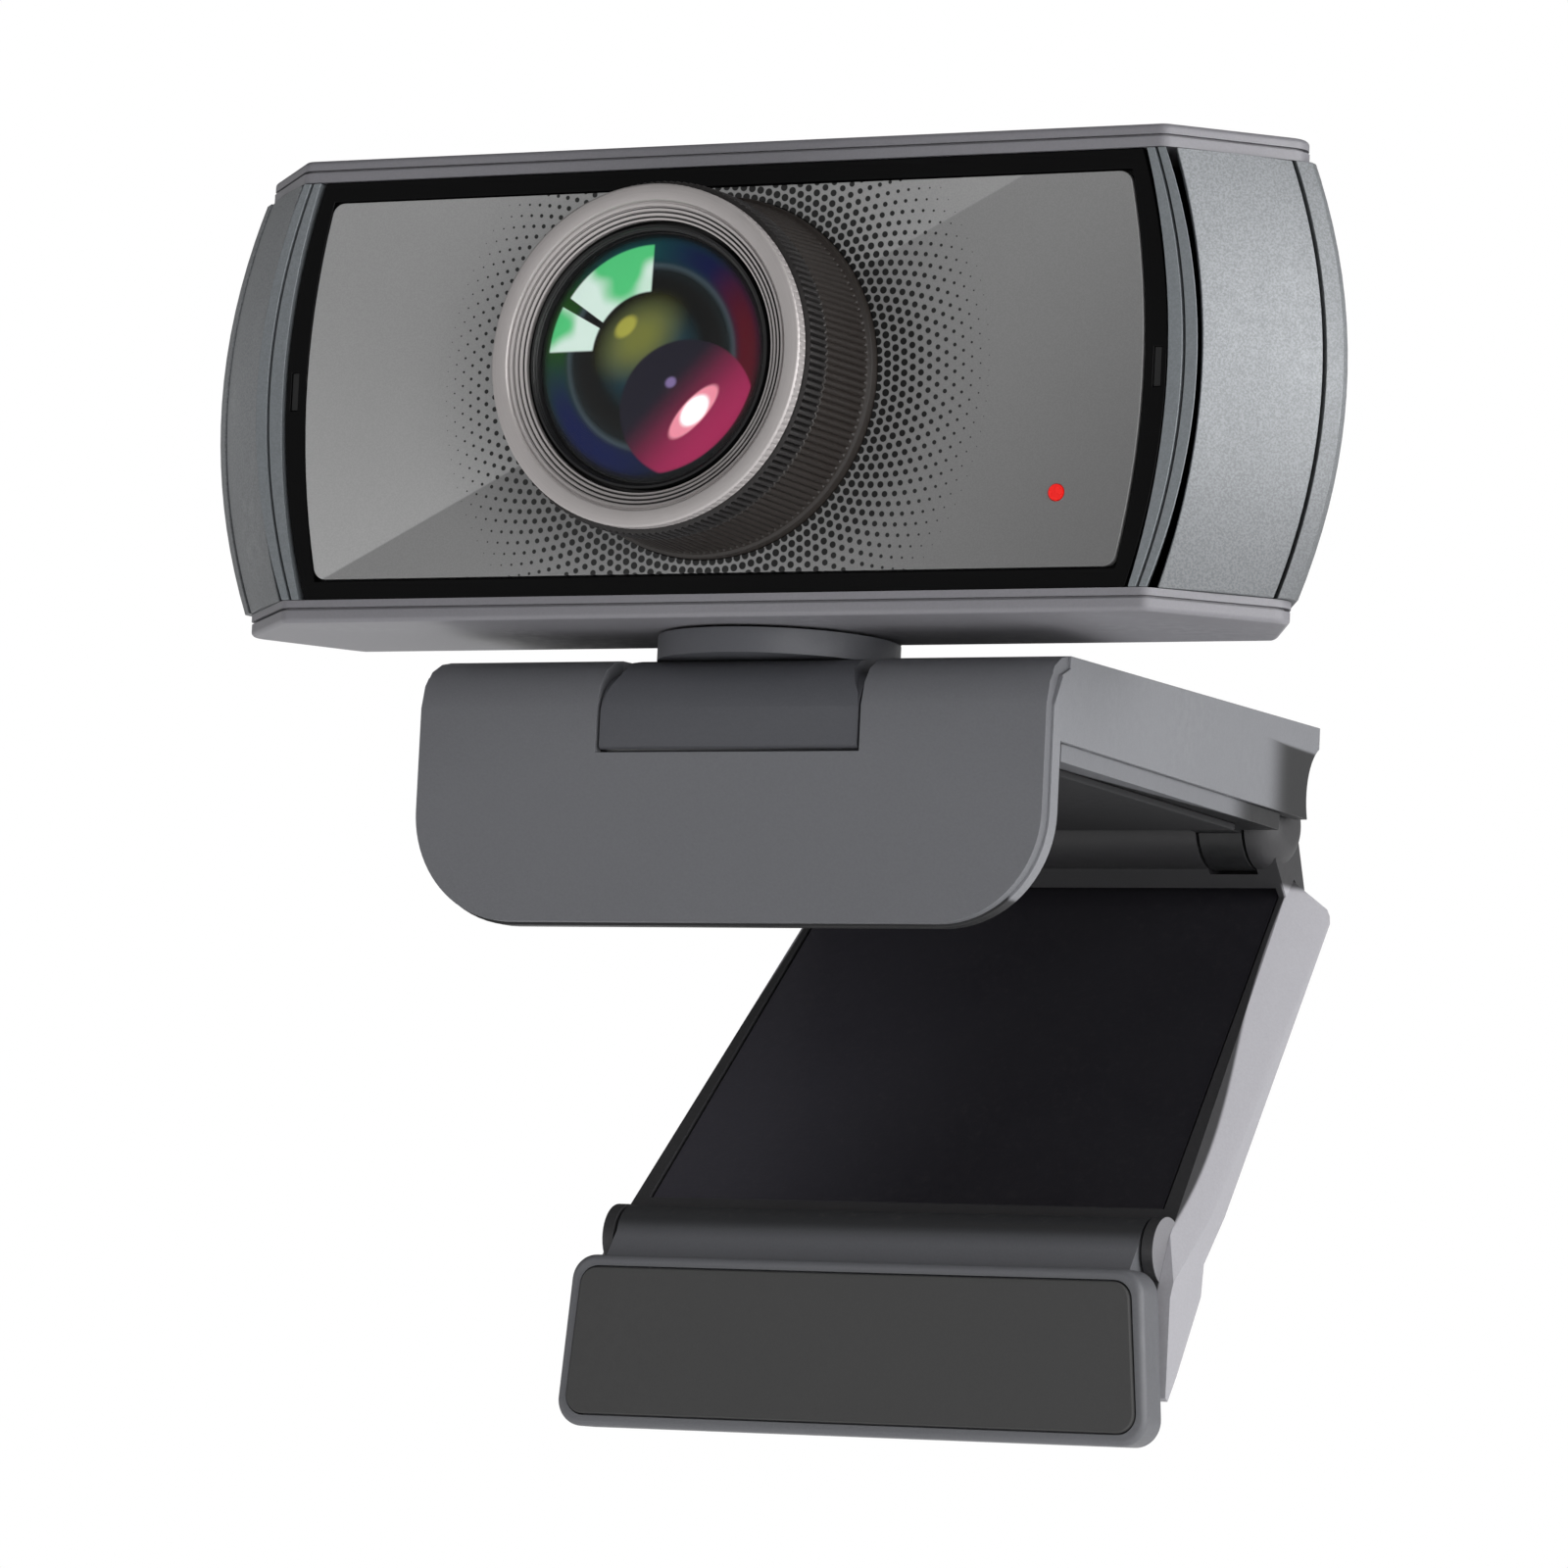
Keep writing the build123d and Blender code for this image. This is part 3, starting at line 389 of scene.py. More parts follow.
# %% Finishes by slot or node
FINISHES = {
    "leg_frame": finish("leg plastic", "a09fa4", 0.50, grain=4200.0, bump=0.3, tones=side_light_and_front_shade),
    "foot_plate": finish("foot plastic", "606165", 0.50, grain=4200.0, bump=0.3, tones=barrel_shade),
    "swivel_post": finish("post plastic", "4d4e53", 0.50, grain=4200.0, bump=0.3),
    "arm_base": finish("arm underside", "6f7074", 0.50, grain=4200.0, bump=0.3, tones=arm_shade),
    "clip_arm": finish("arm plastic", "78797d", 0.50, grain=4200.0, bump=0.35, tones=arm_shade),
    "lip_pad": finish("lip pad", "26262a", 0.80, grain=6500.0, bump=0.20, rub=0.05),
    "arm_pad": finish("arm pad", "17171a", 0.80, grain=6500.0, bump=0.20, rub=0.05),
    "housing_grey": finish("side flake paint", "84878a", 0.46, grain=5200.0, flake=0.34, metal=0.2,
                           bump=0.12, tones=wall_shade),
    "trim_grey": finish("trim satin", "7d8286", 0.40, grain=5200.0, flake=0.16, metal=0.3, bump=0.06),
    "cap_grey": finish("cap plastic", "7b7a7f", 0.45, grain=5200.0, bump=0.10),
    "clip_grey": finish("clip plastic", "66676b", 0.50, grain=4200.0, bump=0.35),
    "leg_black": finish("leg panel black", "1f1e23", 0.46, grain=3600.0, bump=0.35, tones=painted_sheen),
    "pad_rubber": finish("pad rubber", "3e3e3e", 0.85, grain=6500.0, bump=0.20, rub=0.05),
    "barrel_brown": finish("ribbed barrel", "26211e", 0.48, grain=6000.0, bump=0.08, dust=0.05),
    "lens_black": finish("blackened inside", "101011", 0.40, grain=6000.0, bump=0.08, dust=0.0),
    "ring_silver": finish("turned ring", "b0abaa", 0.40, turned=9000.0, metal=0.35, bump=0.10, dust=0.05,
                          tones=ring_tone_and_groove_shade),
    "steel": finish("bright steel", "b4b4b4", 0.30, grain=2500.0, metal=1.0, bump=0.1),
    "brass": finish("turned brass", "c9a25a", 0.32, grain=2500.0, metal=1.0, bump=0.1),
    "board_green": finish("solder mask", "1d5a34", 0.35, grain=1800.0, bump=0.2, dust=0.0),
    "chip_black": finish("chip moulding", "222222", 0.6, grain=6000.0, bump=0.2, dust=0.0),
    "connector_white": finish("connector nylon", "d8d3c4", 0.5, grain=5000.0, bump=0.1, dust=0.0),
    "sensor_dark": finish("sensor window", "1b2540", 0.12, grain=5000.0, bump=0.02, dust=0.0),
    "filter_glass": finish("filter glass", "8a4a55", 0.08, grain=900.0, bump=0.01, dust=0.0),
}
print(len(FINISHES), "plain finishes")

# %% [markdown]
# ## The gloss black bezel
# High-gloss plastic shows its surroundings and little of its own colour. Fine wipe marks are all
# that it has for grain, so the noise is stretched along X and only moves the roughness.

# %% Bezel finish
bezel_black = bpy.data.materials.new("bezel gloss black")
bezel_black.use_nodes = True
sheet = Sheet(bezel_black.node_tree)
shader = bezel_black.node_tree.nodes["Principled BSDF"]
stretched = sheet.node("ShaderNodeMapping", Vector=sheet.object_place(), Scale=(0.25, 1.0, 3.0))
wipes = sheet.noise(stretched, 900.0, 4.0, 0.7)
clouds = sheet.noise(sheet.object_place(), 80.0)
smears = sheet.math("MULTIPLY", wipes, clouds)
sheet.put(shader.inputs["Roughness"], sheet.step(smears, 0.18, 0.40, 0.10, 0.24))
sheet.put(shader.inputs["Base Color"], sheet.mix(wipes, colour("050505"), colour("0b0b0c")))
shader.inputs["Specular IOR Level"].default_value = 0.10
FINISHES["bezel_black"] = bezel_black
print("material:", bezel_black.name)

# %% [markdown]
# ## Dots round the lens
# The silver panel is printed with dots in rings round the lens. They are large beside the barrel
# and fade to nothing further out. Each point of the panel is turned into polar measures: distance
# from the lens axis and angle. Both are cut into cells, and a dot is where a point is near its cell's
# middle. Every second ring is shifted by half a cell, as print screens are.

# %% Dot screen
DOT_START, DOT_END, DOT_ROW, DOTS_ROUND = 15.6 * MM, 28.4 * MM, 0.80 * MM, 126
SCREEN, s, gi, go = group("dot screen", [("Largest Dot", 0.36 * MM)], ["Dots"])
split = s.tree.nodes.new("ShaderNodeSeparateXYZ")
s.put(split.inputs[0], s.object_place())
dx = s.math("SUBTRACT", split.outputs[0], AXIS_X)
dz = s.math("SUBTRACT", split.outputs[2], AXIS_Z)
reach = s.math("SQRT", s.math("ADD", s.math("MULTIPLY", dx, dx), s.math("MULTIPLY", dz, dz)))
rows = s.math("DIVIDE", s.math("SUBTRACT", reach, DOT_START), DOT_ROW)
row = s.math("FLOOR", rows)
across_row = s.math("MULTIPLY", s.math("SUBTRACT", s.math("FRACT", rows), 0.5), DOT_ROW)
shift = s.math("MULTIPLY", s.math("MODULO", row, 2.0), 0.5)
cells = s.math("ADD", s.math("MULTIPLY", s.math("ARCTAN2", dz, dx), DOTS_ROUND / (2 * math.pi)), shift)
cell_width = s.math("MULTIPLY", reach, 2 * math.pi / DOTS_ROUND)
along_row = s.math("MULTIPLY", s.math("SUBTRACT", s.math("FRACT", cells), 0.5), cell_width)
off = s.math("SQRT", s.math("ADD", s.math("MULTIPLY", across_row, across_row),
                            s.math("MULTIPLY", along_row, along_row)))
fade = s.math("POWER", s.step(reach, DOT_START, DOT_END, 1.0, 0.0), 0.62)
size = s.math("MULTIPLY", fade, gi.outputs["Largest Dot"])
s.put(go.inputs["Dots"], s.step(s.math("SUBTRACT", size, off), 0.0, 0.05 * MM))
print("dot rows:", round((DOT_END - DOT_START) / DOT_ROW), "with", DOTS_ROUND, "dots in each")

# %% [markdown]
# The panel is light above and left of a slanting line and darker below and right of it. The darker side deepens
# towards its lower corner.

# %% Panel finish
panel_silver = bpy.data.materials.new("panel silver")
panel_silver.use_nodes = True
sheet = Sheet(panel_silver.node_tree)
shader = panel_silver.node_tree.nodes["Principled BSDF"]
split = sheet.tree.nodes.new("ShaderNodeSeparateXYZ")
sheet.put(split.inputs[0], sheet.object_place())
over = sheet.math("SUBTRACT", sheet.math("SUBTRACT", split.outputs[2], 35.2 * MM),
                  sheet.math("MULTIPLY", split.outputs[0], 0.503))
side_tone = sheet.step(over, -0.12 * MM, 0.12 * MM)
deeper = sheet.step(sheet.math("SUBTRACT", split.outputs[0], split.outputs[2]), -0.030, 0.028, 0.0, 1.0)
dark_side = sheet.mix(deeper, colour("8a8a8a"), colour("6c6c6c"))
light_side = sheet.mix(sheet.step(split.outputs[2], 0.016, 0.050), colour("b0b0b0"), colour("9c9c9c"))
base = sheet.mix(side_tone, dark_side, light_side)
flakes = use(sheet, FLAKE, Flake_Size=7000.0, Contrast=0.10)
grey = sheet.node("ShaderNodeCombineColor", Red=flakes["Tone"], Green=flakes["Tone"], Blue=flakes["Tone"])
base = sheet.mix(1.0, base, grey, "MULTIPLY")
dots = use(sheet, SCREEN)["Dots"]
sheet.put(shader.inputs["Base Color"], sheet.mix(dots, base, colour("141414")))
rubbed = use(sheet, RUB, Strength=0.05)["Rub"]
sheet.put(shader.inputs["Roughness"], sheet.math("ADD", rubbed, 0.36))
relief = sheet.node("ShaderNodeBump", Strength=0.05, Distance=0.00003, Height=flakes["Height"])
sheet.put(shader.inputs["Normal"], relief)
shader.inputs["Metallic"].default_value = 0.15
shader.inputs["Coat Weight"].default_value = 0.25
shader.inputs["Coat Roughness"].default_value = 0.08
FINISHES["panel_silver"] = panel_silver
print("material:", panel_silver.name)

# %% [markdown]
# ## Coated glass
# A camera lens looks deep because each glass has a coating with its own colour. Two pieces give that look here:
# a thin clear dome in front, and a coated glass behind it whose colours are painted reflections and a painted
# glow.
# Light must reach the glass behind, so the dome is mostly clear, and for shadow rays fully clear.

# %% Clear dome finish
clear_dome = bpy.data.materials.new("clear coated glass")
clear_dome.use_nodes = True
sheet = Sheet(clear_dome.node_tree)
shader = clear_dome.node_tree.nodes["Principled BSDF"]
smudge = sheet.noise(sheet.object_place(), 260.0, 3.0)
sheet.put(shader.inputs["Roughness"], sheet.step(smudge, 0.45, 0.8, 0.01, 0.05))
sheet.put(shader.inputs["Base Color"], sheet.mix(smudge, colour("f4fbf8"), colour("e9f3ff")))
shader.inputs["Transmission Weight"].default_value = 1.0
shader.inputs["IOR"].default_value = 1.36
ends = clear_dome.node_tree.nodes["Material Output"]
shadow = sheet.node("ShaderNodeLightPath", out=1)
passing = sheet.node("ShaderNodeBsdfTransparent")
share = sheet.math("MAXIMUM", shadow, 0.93)
mixed = sheet.node("ShaderNodeMixShader", i0=share, i1=shader.outputs[0], i2=passing)
sheet.put(ends.inputs["Surface"], mixed)
print("material:", clear_dome.name)

# %% [markdown]
# The coated glass is drawn in polar measures round the lens axis, with 1 at its rim. A helper turns "inside
# this tilted oval" into a soft mask, and each painted colour is one call: the dark rings between the glasses, a
# teal middle with a painted warm glow, coloured reflections painted round the rim, a pale green window
# reflection painted in two panes, and a painted crimson crescent reflection with a painted white glint.

# %% Coated glass finish
GLASS_R = 10.7 * MM
coated = bpy.data.materials.new("coated glass")
coated.use_nodes = True
sheet = Sheet(coated.node_tree)
shader = coated.node_tree.nodes["Principled BSDF"]
split = sheet.tree.nodes.new("ShaderNodeSeparateXYZ")
sheet.put(split.inputs[0], sheet.object_place())
U = sheet.math("DIVIDE", sheet.math("SUBTRACT", split.outputs[0], AXIS_X), GLASS_R)
V = sheet.math("DIVIDE", sheet.math("SUBTRACT", split.outputs[2], AXIS_Z), GLASS_R)
RHO = sheet.math("SQRT", sheet.math("ADD", sheet.math("MULTIPLY", U, U), sheet.math("MULTIPLY", V, V)))
PHI = sheet.math("ARCTAN2", V, U)


def oval(u, v, long, wide, tilt=0.0, soft=0.25):
    """1 inside an oval at (u, v), tilted in degrees, and 0 outside: a soft edge of a part of its size."""
    c, n = math.cos(math.radians(tilt)), math.sin(math.radians(tilt))
    a, b = sheet.math("SUBTRACT", U, u), sheet.math("SUBTRACT", V, v)
    along = sheet.math("ADD", sheet.math("MULTIPLY", a, c), sheet.math("MULTIPLY", b, n))
    aside = sheet.math("SUBTRACT", sheet.math("MULTIPLY", b, c), sheet.math("MULTIPLY", a, n))
    p, q = sheet.math("DIVIDE", along, long), sheet.math("DIVIDE", aside, wide)
    far = sheet.math("SQRT", sheet.math("ADD", sheet.math("MULTIPLY", p, p), sheet.math("MULTIPLY", q, q)))
    return sheet.step(far, 1.0 - soft, 1.0 + soft * 0.2, 1.0, 0.0)


def both(*masks):
    """Where every mask is 1."""
    out = masks[0]
    for mask in masks[1:]:
        out = sheet.math("MULTIPLY", out, mask)
    return out


def between(value, low, high, soft=0.01):
    """1 where a value is between two numbers."""
    above = sheet.step(value, low - soft, low + soft)
    return both(above, sheet.step(value, high - soft, high + soft, 1.0, 0.0))


# %% Painted reflections and glow on the coated glass
ramp = sheet.tree.nodes.new("ShaderNodeValToRGB")
stops = [(0.0, "16323c"), (0.30, "15303a"), (0.44, "0d1c20"), (0.50, "050606"), (0.62, "0b0b0a"),
         (0.70, "12191b"), (0.745, "3a464c"), (0.78, "111a22"), (0.90, "0a1420"), (0.97, "020203")]
while len(ramp.color_ramp.elements) < len(stops):
    ramp.color_ramp.elements.new(0.5)
for stop, (where, code) in zip(ramp.color_ramp.elements, stops):
    stop.position, stop.color = where, colour(code)
sheet.put(ramp.inputs[0], RHO)
tint = ramp.outputs[0]
rim = between(RHO, 0.77, 0.95, 0.05)
# coloured reflections painted round the rim
for at, code in ((3.0, "17400f"), (-2.3, "0a1440"), (1.6, "0d3a3c"), (0.7, "0a1038"), (0.0, "4a0616")):
    near = sheet.step(sheet.math("COSINE", sheet.math("SUBTRACT", PHI, at)), 0.55, 1.0)
    tint = sheet.mix(both(rim, near), tint, colour(code))
# a painted warm glow in the middle
tint = sheet.mix(sheet.math("MULTIPLY", oval(-0.10, 0.16, 0.44, 0.30, 35, 0.9), 0.55), tint, colour("8a8a2c"))
tint = sheet.mix(sheet.math("MULTIPLY", oval(-0.23, 0.25, 0.13, 0.08, 40, 0.4), 0.6), tint, colour("b9b54a"))
# a painted crimson crescent reflection; below it a painted violet dot and a pink and white painted glint
painted_crimson_mask = both(oval(0.34, -0.42, 0.60, 0.56, 0, 0.04), sheet.step(RHO, 0.93, 0.95, 1.0, 0.0))
depth = sheet.step(sheet.math("SUBTRACT", U, V), 0.35, 1.25)
tint = sheet.mix(painted_crimson_mask, tint, sheet.mix(depth, colour("191722"), colour("9a2450")))
tint = sheet.mix(oval(0.20, -0.21, 0.06, 0.05, 30, 0.5), tint, colour("75648f"))
tint = sheet.mix(oval(0.41, -0.45, 0.30, 0.105, 45, 0.15), tint, colour("e58a9c"))
painted_glint_mask = oval(0.42, -0.44, 0.17, 0.10, 45, 0.3)
tint = sheet.mix(painted_glint_mask, tint, colour("ffffff"))
# a pale green window reflection, painted in two panes
upper = both(between(RHO, 0.53, 0.91), sheet.step(U, -0.03, -0.01, 1.0, 0.0), between(PHI, 0.0, 2.56, 0.006))
lower = both(between(RHO, 0.53, 0.93), sheet.step(V, 0.055, 0.075), between(PHI, 2.66, 3.14, 0.006))
painted_window_reflection = sheet.math("MAXIMUM", upper, lower)
mist = sheet.noise(sheet.object_place(), 230.0, 1.0)
tint = sheet.mix(painted_window_reflection, tint, sheet.mix(sheet.step(mist, 0.40, 0.62), colour("4dbb74"), colour("cfe3d8")))
sheet.put(shader.inputs["Base Color"], tint)
sheet.put(shader.inputs["Roughness"], sheet.step(mist, 0.2, 0.8, 0.16, 0.22))
# the painted colours glow a little, though the glass is no lamp
sheet.put(shader.inputs["Emission Color"], tint)
shader.inputs["Emission Strength"].default_value = 0.25
shader.inputs["Specular IOR Level"].default_value = 0.3
FINISHES["lens_glass"] = coated
print("material:", coated.name, "with", len(coated.node_tree.nodes), "nodes")

# %% [markdown]
# ## The red light
# A small moulded window with a lamp behind it glows red, with a fine ripple in it.

# %% Light finish
led_red = bpy.data.materials.new("red light window")
led_red.use_nodes = True
sheet = Sheet(led_red.node_tree)
shader = led_red.node_tree.nodes["Principled BSDF"]
ripple = sheet.noise(sheet.object_place(), 1800.0, 2.0)
sheet.put(shader.inputs["Base Color"], sheet.mix(ripple, colour("b80808"), colour("d01812")))
sheet.put(shader.inputs["Emission Color"], sheet.mix(ripple, colour("ff0505"), colour("ff2414")))
shader.inputs["Emission Strength"].default_value = 0.35
sheet.put(shader.inputs["Roughness"], sheet.step(ripple, 0.2, 0.8, 0.2, 0.35))
FINISHES["led_red"] = led_red
print("material:", led_red.name)

# %% [markdown]
# ## Dress the CAD
# The record says which finish each node takes, so one loop covers them all.

# %% Finish on every CAD node
SLOT = {part["node"]: part["material_slot"] for part in frame["record"]["subparts"]}


def dress(piece, slot, material=None):
    """Gives a piece one finish: the one given, or the slot's own."""
    piece.data.materials.clear()
    piece.data.materials.append(material or FINISHES[slot])


for name, node in NODES.items():
    dress(node, SLOT[name], FINISHES.get(name))
print("dressed", len(NODES), "nodes")

# %% [markdown]
# ## Soft edges
# A moulding never has a knife edge: a tiny radius catches the light as a bright line. The CAD mesh is
# loose triangles, so a copy is welded, its flat faces are joined, and Blender's Bevel rounds the
# edges. The copy stands in for the node, which stays where it is for the physics.

# %% Softened copies
BODY = {n: body for body, members in frame["record"]["behaviour"]["bodies"].items() for n in members}


def soften(node, width, steps=2):
    """A welded copy of a CAD node with its sharp edges rounded by a width in mm."""
    mesh = NODES[node].data.copy()
    work = bmesh.new()
    work.from_mesh(mesh)
    bmesh.ops.remove_doubles(work, verts=work.verts, dist=1e-6)
    bmesh.ops.dissolve_limit(work, angle_limit=math.radians(0.8), verts=work.verts, edges=work.edges)
    for face in work.faces:
        face.smooth = True
    for edge in work.edges:
        edge.smooth = edge.calc_face_angle(0.0) < math.radians(28)
    work.to_mesh(mesh)
    work.free()
    if mesh.has_custom_normals:
        mesh.normals_split_custom_set([(0, 0, 0)] * len(mesh.loops))
    piece = bpy.data.objects.new(node + "_skin", mesh)
    bpy.context.scene.collection.objects.link(piece)
    bevel = piece.modifiers.new("edge", "BEVEL")
    bevel.width = width * MM
    bevel.segments = steps
    bevel.limit_method = "ANGLE"
    bevel.angle_limit = math.radians(28)
    bevel.use_clamp_overlap = True
    bevel.harden_normals = True
    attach(piece, BODY[node])
    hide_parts(node)
    return piece


EDGES = {
    "clip_front": 0.45, "clip_arm": 0.15, "leg_frame": 0.15, "leg_panel": 0.10, "foot_plate": 0.15,
    "foot_pad": 0.15, "top_cap": 0.12, "bottom_cap": 0.12, "side_panel_left": 0.12, "side_panel_right": 0.12,
    "rear_shell": 0.15, "front_bezel": 0.08, "face_panel": 0.06, "side_trim_front_left": 0.08,
    "side_trim_front_right": 0.08, "side_trim_rear_left": 0.08, "side_trim_rear_right": 0.08,
    "swivel_post": 0.15, "leg_cover": 0.12, "arm_base": 0.12, "arm_pad": 0.2, "lip_pad": 0.15,
    "cable_gland": 0.12,
}
for node, width in EDGES.items():
    made = soften(node, width)
    print(f"{made.name}: {len(made.data.polygons)} faces before its edges are rounded")


# %% [markdown]
# ## Turned parts
# Everything round the lens is a profile carried round one axis. The profile is a closed loop of
# (radius, depth) points. Ribs and notches only change the radius with the angle, so a second array
# says how deep they are at each profile point.


# %% Profile carried round the axis
def turned(name, profile, steps, ripple=None):
    """Each profile point (r, y) goes to x = axis + (r - cut) cos a, z = axis + (r - cut) sin a, at angle a.

    ripple(a) is 0 to 1 round the turn, and a third column of the profile says how deep it cuts in mm.
    """
    table = np.array(profile, float)
    r, y = table[:, 0] * MM, table[:, 1] * MM
    cut = table[:, 2] * MM if table.shape[1] > 2 else np.zeros(len(r))
    a = np.linspace(0, 2 * np.pi, steps, endpoint=False)[:, None]
    wave = ripple(a) if ripple else np.zeros_like(a)
    radius = r[None, :] - cut[None, :] * wave
    across, upward = AXIS_X + radius * np.cos(a), AXIS_Z + radius * np.sin(a)
    points = np.stack([across, np.broadcast_to(y, radius.shape), upward], -1)
    n = len(r)
    i, j = np.meshgrid(np.arange(steps), np.arange(n), indexing="ij")
    i2, j2 = (i + 1) % steps, (j + 1) % n
    quads = np.stack([i * n + j, i * n + j2, i2 * n + j2, i2 * n + j], -1).reshape(-1, 4)
    return build(name, points.reshape(-1, 3), quads)


def build(name, points, faces, smooth=35):
    """A mesh piece from arrays, smooth but for edges sharper than an angle, with faces outwards."""
    mesh = bpy.data.meshes.new(name)
    mesh.from_pydata(points.tolist(), [], faces.tolist() if hasattr(faces, "tolist") else faces)
    work = bmesh.new()
    work.from_mesh(mesh)
    bmesh.ops.remove_doubles(work, verts=work.verts, dist=1e-7)
    bmesh.ops.recalc_face_normals(work, faces=work.faces)
    for face in work.faces:
        face.smooth = True
    for edge in work.edges:
        edge.smooth = edge.calc_face_angle(0.0) < math.radians(smooth)
    work.to_mesh(mesh)
    work.free()
    piece = bpy.data.objects.new(name, mesh)
    bpy.context.scene.collection.objects.link(piece)
    return piece


def stand_for(piece, node, material=None):
    """The piece rides with a CAD node's body, takes its slot's finish or the one given, and is shown in its
    place.
    """
    dress(piece, SLOT[node], material)
    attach(piece, BODY[node])
    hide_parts(node)
    print(f"{piece.name}: {len(piece.data.polygons)} faces, stands for {node}")


# %% [markdown]
# The barrel has fine ribs along it, 150 to the turn. A rib is a short flat top between narrow
# valleys, which a cosine raised to a low power gives. The ribs start and end inside plain bands.

# %% Ribbed barrel
RIBS = 150


def valleys(a):
    """0 on a rib and 1 in the valley between two, RIBS times round."""
    return (0.5 - 0.5 * np.cos(RIBS * a)) ** 3


back = 1000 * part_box("lens_barrel")[1].y
front = 1000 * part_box("lens_barrel")[0].y
foot = back - 2.26
barrel = [(11.0, front, 0), (14.9, front, 0), (15.1, front + 0.12, 0.16), (15.1, front + 0.3, 0.22),
          (15.42, foot - 2.25, 0.22), (15.44, foot - 2.1, 0.16), (15.45, foot - 2.0, 0), (15.5, foot - 1.85, 0),
          (15.75, foot - 1.75, 0), (15.8, foot - 1.65, 0), (15.8, foot, 0), (12.9, foot, 0), (12.9, back, 0),
          (11.0, back, 0)]
stand_for(turned("ribbed_barrel", barrel, RIBS * 8, valleys), "lens_barrel")

# %% [markdown]
# The focus ring is turned from one bar: a plain bright face, four fine grooves in its inner bevel, a
# knurled edge, and a band of notches for the fingers. The grooves are only more profile points.

# %% Focus ring
front = 1000 * RING_FRONT
rear = 1000 * ring_high.y
bevel = [(11.3, rear, 0), (11.3, rear - 2.2, 0), (11.75, rear - 2.2, 0), (11.75, front + 0.75, 0)]
for r in (12.0, 12.4, 12.8, 13.2):
    depth = front + 0.75 - (r - 11.75) * 0.38
    bevel += [(r - 0.10, depth + 0.04, 0), (r - 0.07, depth + 0.22, 0)]
    bevel += [(r + 0.07, depth + 0.18, 0), (r + 0.10, depth - 0.04, 0)]
bevel += [(13.4, front + 0.03, 0), (13.5, front, 0), (14.6, front, 0), (14.68, front + 0.03, 0)]
knurl = [(14.78, front + 0.14, 0.0), (14.8, front + 0.22, 0.10), (14.8, front + 1.1, 0.10)]
knurl += [(14.78, front + 1.2, 0)]
band = [(14.7, front + 1.25, 0), (14.7, front + 1.4, 0), (15.2, front + 1.46, 0.1), (15.26, front + 1.6, 0.45),
        (15.3, rear - 0.3, 0.45), (15.2, rear, 0.2)]
stand_for(turned("turned_focus_ring", bevel + knurl + band, RIBS * 8, valleys), "focus_ring")

# %% [markdown]
# Inside the bright ring is a narrow black one that stops stray light. It goes inwards in small steps.

# %% Hood ring
low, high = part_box("lens_hood_ring")
y0, y1 = 1000 * low.y, 1000 * high.y
hood = [(11.35, y1), (11.35, y0), (11.15, y0), (11.1, y0 + 0.1), (11.02, y0 + 0.14), (10.98, y0 + 0.26),
        (10.9, y0 + 0.3), (10.86, y0 + 0.45), (10.8, y1)]
stand_for(turned("stepped_hood", hood, 192), "lens_hood_ring")


# %% [markdown]
# A glass is a part of a ball. The height of a ball's cap at a radius r is R minus the root of R squared
# minus r squared. Front and back surfaces are two such caps, joined at the rim.


# %% Domed glasses
def dome(name, radius, apex, rise, thick, rings=28, steps=160):
    """Two cap surfaces: y = apex + R - sqrt(R R - r r), and the same set back by the thickness."""
    ball = (radius * radius + rise * rise) / (2 * rise)
    r = radius * np.sin(np.linspace(0, np.pi / 2, rings))
    sag = ball - np.sqrt(ball * ball - r * r)
    inner = np.minimum(r, radius - 0.02)[::-1]
    profile = np.concatenate([np.stack([r, apex + sag], 1), np.stack([inner, apex + thick + sag[::-1]], 1)])
    a = np.linspace(0, 2 * np.pi, steps, endpoint=False)[:, None]
    x, y, z = profile[:, 0] * MM * np.cos(a), profile[:, 1] * MM + 0 * a, profile[:, 0] * MM * np.sin(a)
    points = np.stack([AXIS_X + x, y, AXIS_Z + z], -1).reshape(-1, 3)
    n = len(profile)
    i, j = np.meshgrid(np.arange(steps), np.arange(n - 1), indexing="ij")
    i2 = (i + 1) % steps
    quads = np.stack([i * n + j, i * n + j + 1, i2 * n + j + 1, i2 * n + j], -1).reshape(-1, 4)
    return build(name, points, quads)


apex = 1000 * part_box("front_glass")[0].y
stand_for(dome("clear_dome", 10.75, apex, 0.5, 0.12), "front_glass", clear_dome)
stand_for(dome("painted_reflection_glass", 10.7, apex + 0.28, 0.42, 0.03), "middle_lens")

# %% [markdown]
# ## Floor and light
# The floor is pale and plain, a little below the clip's foot, and clear from underneath. The world is
# white to the eye; as a light it is brightest near the horizon and dark overhead, so upper edges fall
# into shade. The floor glows and lights the undersides. A large soft lamp brightens the right side.

# %% Floor
floor_mesh = bpy.data.meshes.new("floor")
floor_mesh.from_pydata([(-1.5, -1.5, 0), (1.5, -1.5, 0), (1.5, 1.5, 0), (-1.5, 1.5, 0)], [], [(0, 1, 2, 3)])
floor_mesh.transform(Matrix.Translation((0, 0, cad_box[0][2] - 0.028)))
floor = bpy.data.objects.new("floor", floor_mesh)
bpy.context.scene.collection.objects.link(floor)
floor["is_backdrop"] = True
pale = bpy.data.materials.new("pale floor")
pale.use_nodes = True
sheet = Sheet(pale.node_tree)
shader = pale.node_tree.nodes["Principled BSDF"]
cloth = sheet.noise(sheet.object_place(), 30.0, 3.0)
sheet.put(shader.inputs["Base Color"], sheet.mix(cloth, colour("f2f2f2"), colour("eeeeef")))
shader.inputs["Roughness"].default_value = 0.9
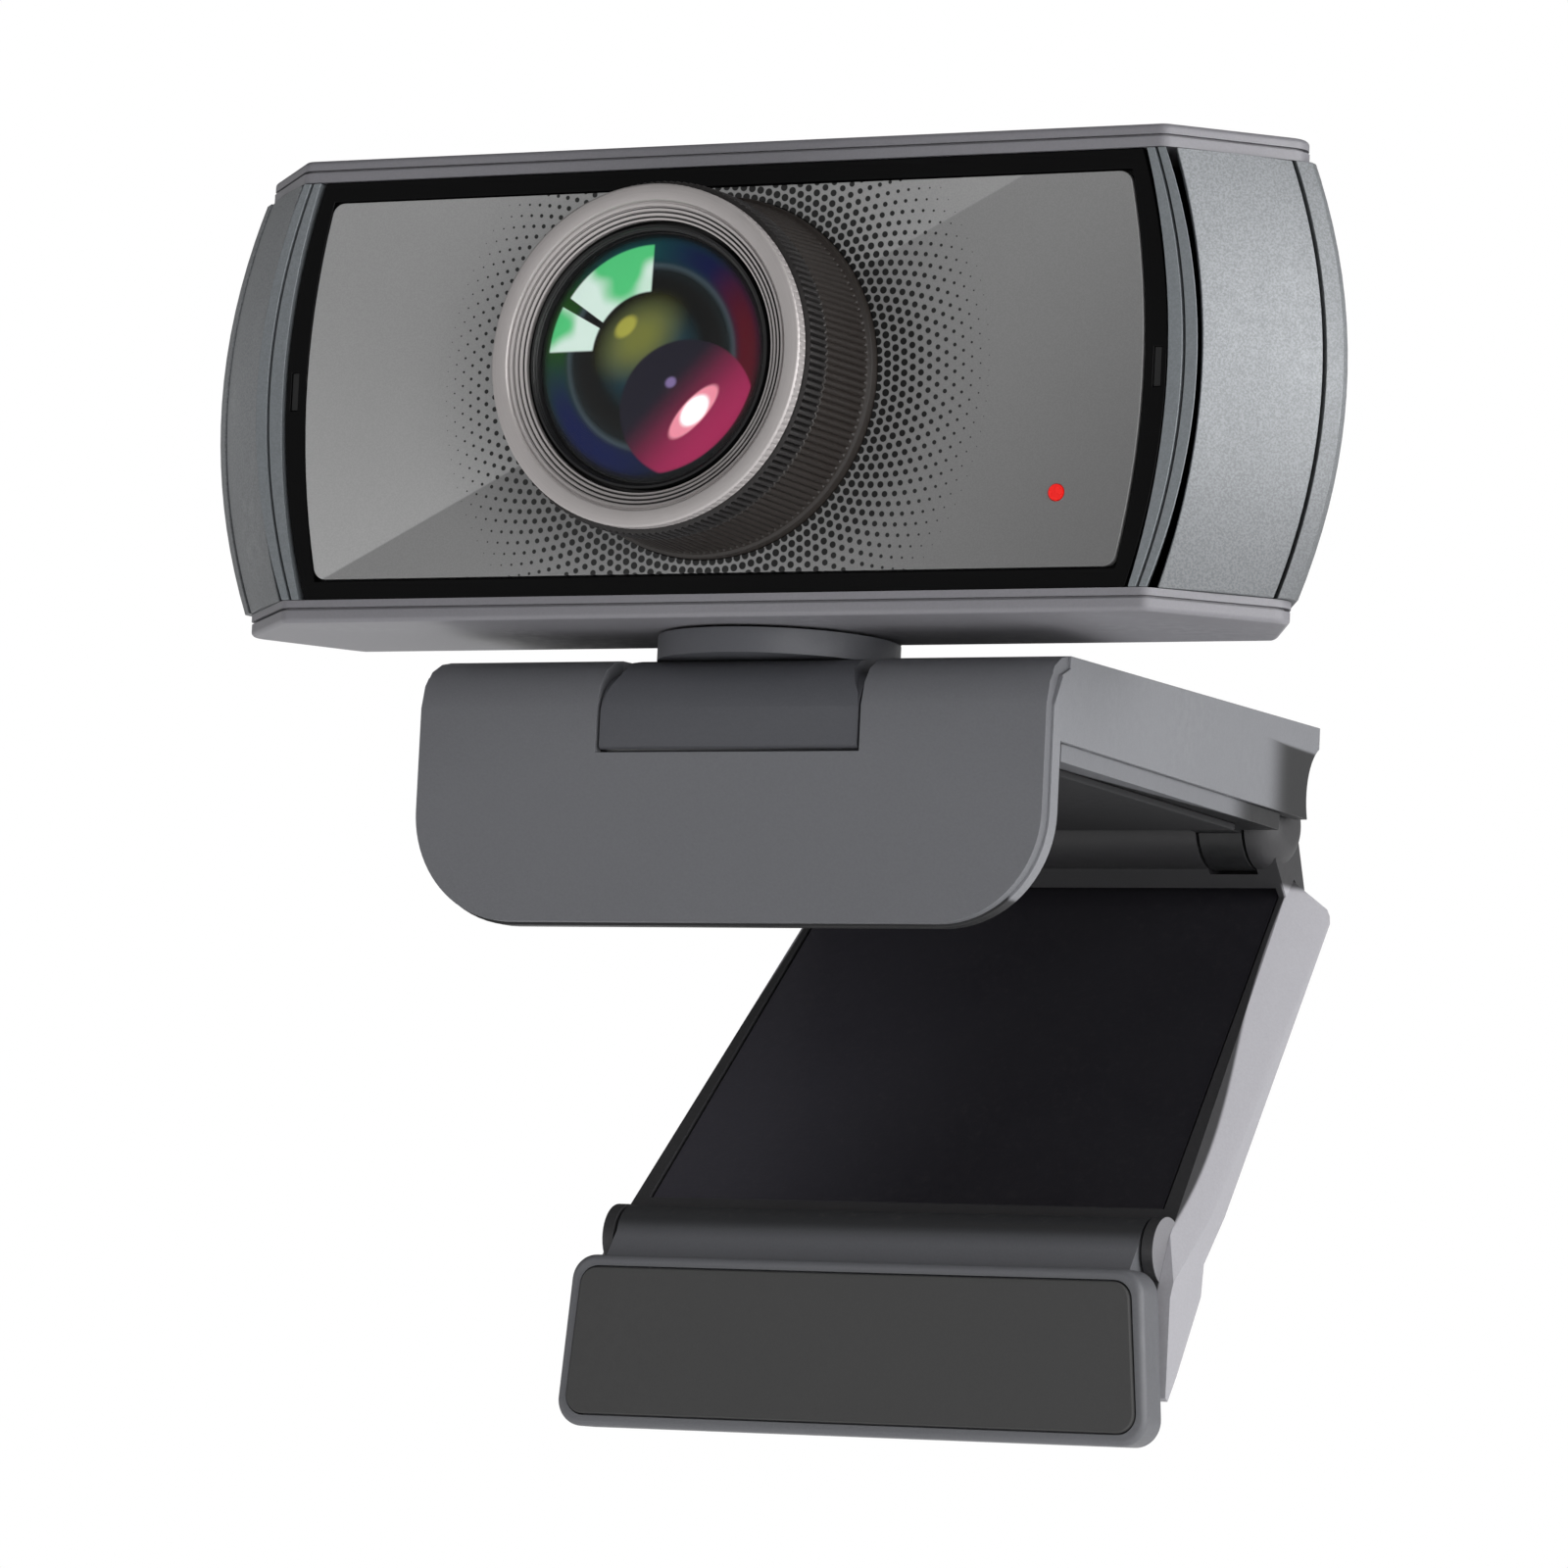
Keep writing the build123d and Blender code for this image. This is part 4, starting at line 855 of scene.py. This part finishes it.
shader.inputs["Emission Color"].default_value = (1, 1, 1, 1)
shader.inputs["Emission Strength"].default_value = 0.62
under = sheet.node("ShaderNodeNewGeometry", out=6)
clear = sheet.node("ShaderNodeBsdfTransparent")
sheet.put(pale.node_tree.nodes["Material Output"].inputs["Surface"],
          sheet.node("ShaderNodeMixShader", i0=under, i1=shader.outputs[0], i2=clear))
floor_mesh.materials.append(pale)
print("floor at", round(1000 * floor_mesh.vertices[0].co.z, 1), "mm")

# %% World
world = bpy.data.worlds.new("studio")
world.use_nodes = True
bpy.context.scene.world = world
sheet = Sheet(world.node_tree)
toward = sheet.node("ShaderNodeTexCoord", out=0)
height = sheet.node("ShaderNodeSeparateXYZ", out=2, Vector=toward)
glow = sheet.step(height, 0.10, 0.45, 0.50, 0.04)
soft = sheet.node("ShaderNodeBackground", Color=(1, 1, 1, 1), Strength=glow)
seen = sheet.node("ShaderNodeBackground", Color=(1, 1, 1, 1), Strength=1.0)
eye = sheet.node("ShaderNodeLightPath", out=0)
sheet.put(world.node_tree.nodes["World Output"].inputs["Surface"],
          sheet.node("ShaderNodeMixShader", i0=eye, i1=soft, i2=seen))


# %% Lamps
def lamp(name, place, size, watts, aim=(0, -0.01, 0.0)):
    """A square soft light at a place, turned to face the object."""
    light = bpy.data.lights.new(name, "AREA")
    light.size = size
    light.energy = watts
    holder = bpy.data.objects.new(name, light)
    bpy.context.scene.collection.objects.link(holder)
    toward = Vector(aim) - Vector(place)
    holder.matrix_world = Matrix.Translation(place) @ toward.to_track_quat("-Z", "Y").to_matrix().to_4x4()
    return holder


lamp("right softbox", (0.75, -0.10, 0.10), 0.7, 6.5)
lamp("top softbox", (0.05, 0.10, 0.85), 0.9, 0.5)
lamp("front softbox", (0.60, -0.80, -0.02), 0.4, 3.0)
print("three lamps")

# %% [markdown]
# ## Check and close
# The dressed model must fill the same box as the CAD. The CAD box is printed when it is loaded, and the largest
# difference between the two boxes is printed here.

# %% Sizes
dressed = [list(corner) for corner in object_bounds()]
gap = float(np.abs(np.array(cad_box) - np.array(dressed)).max())
print("largest difference in mm:", round(1000 * gap, 3))
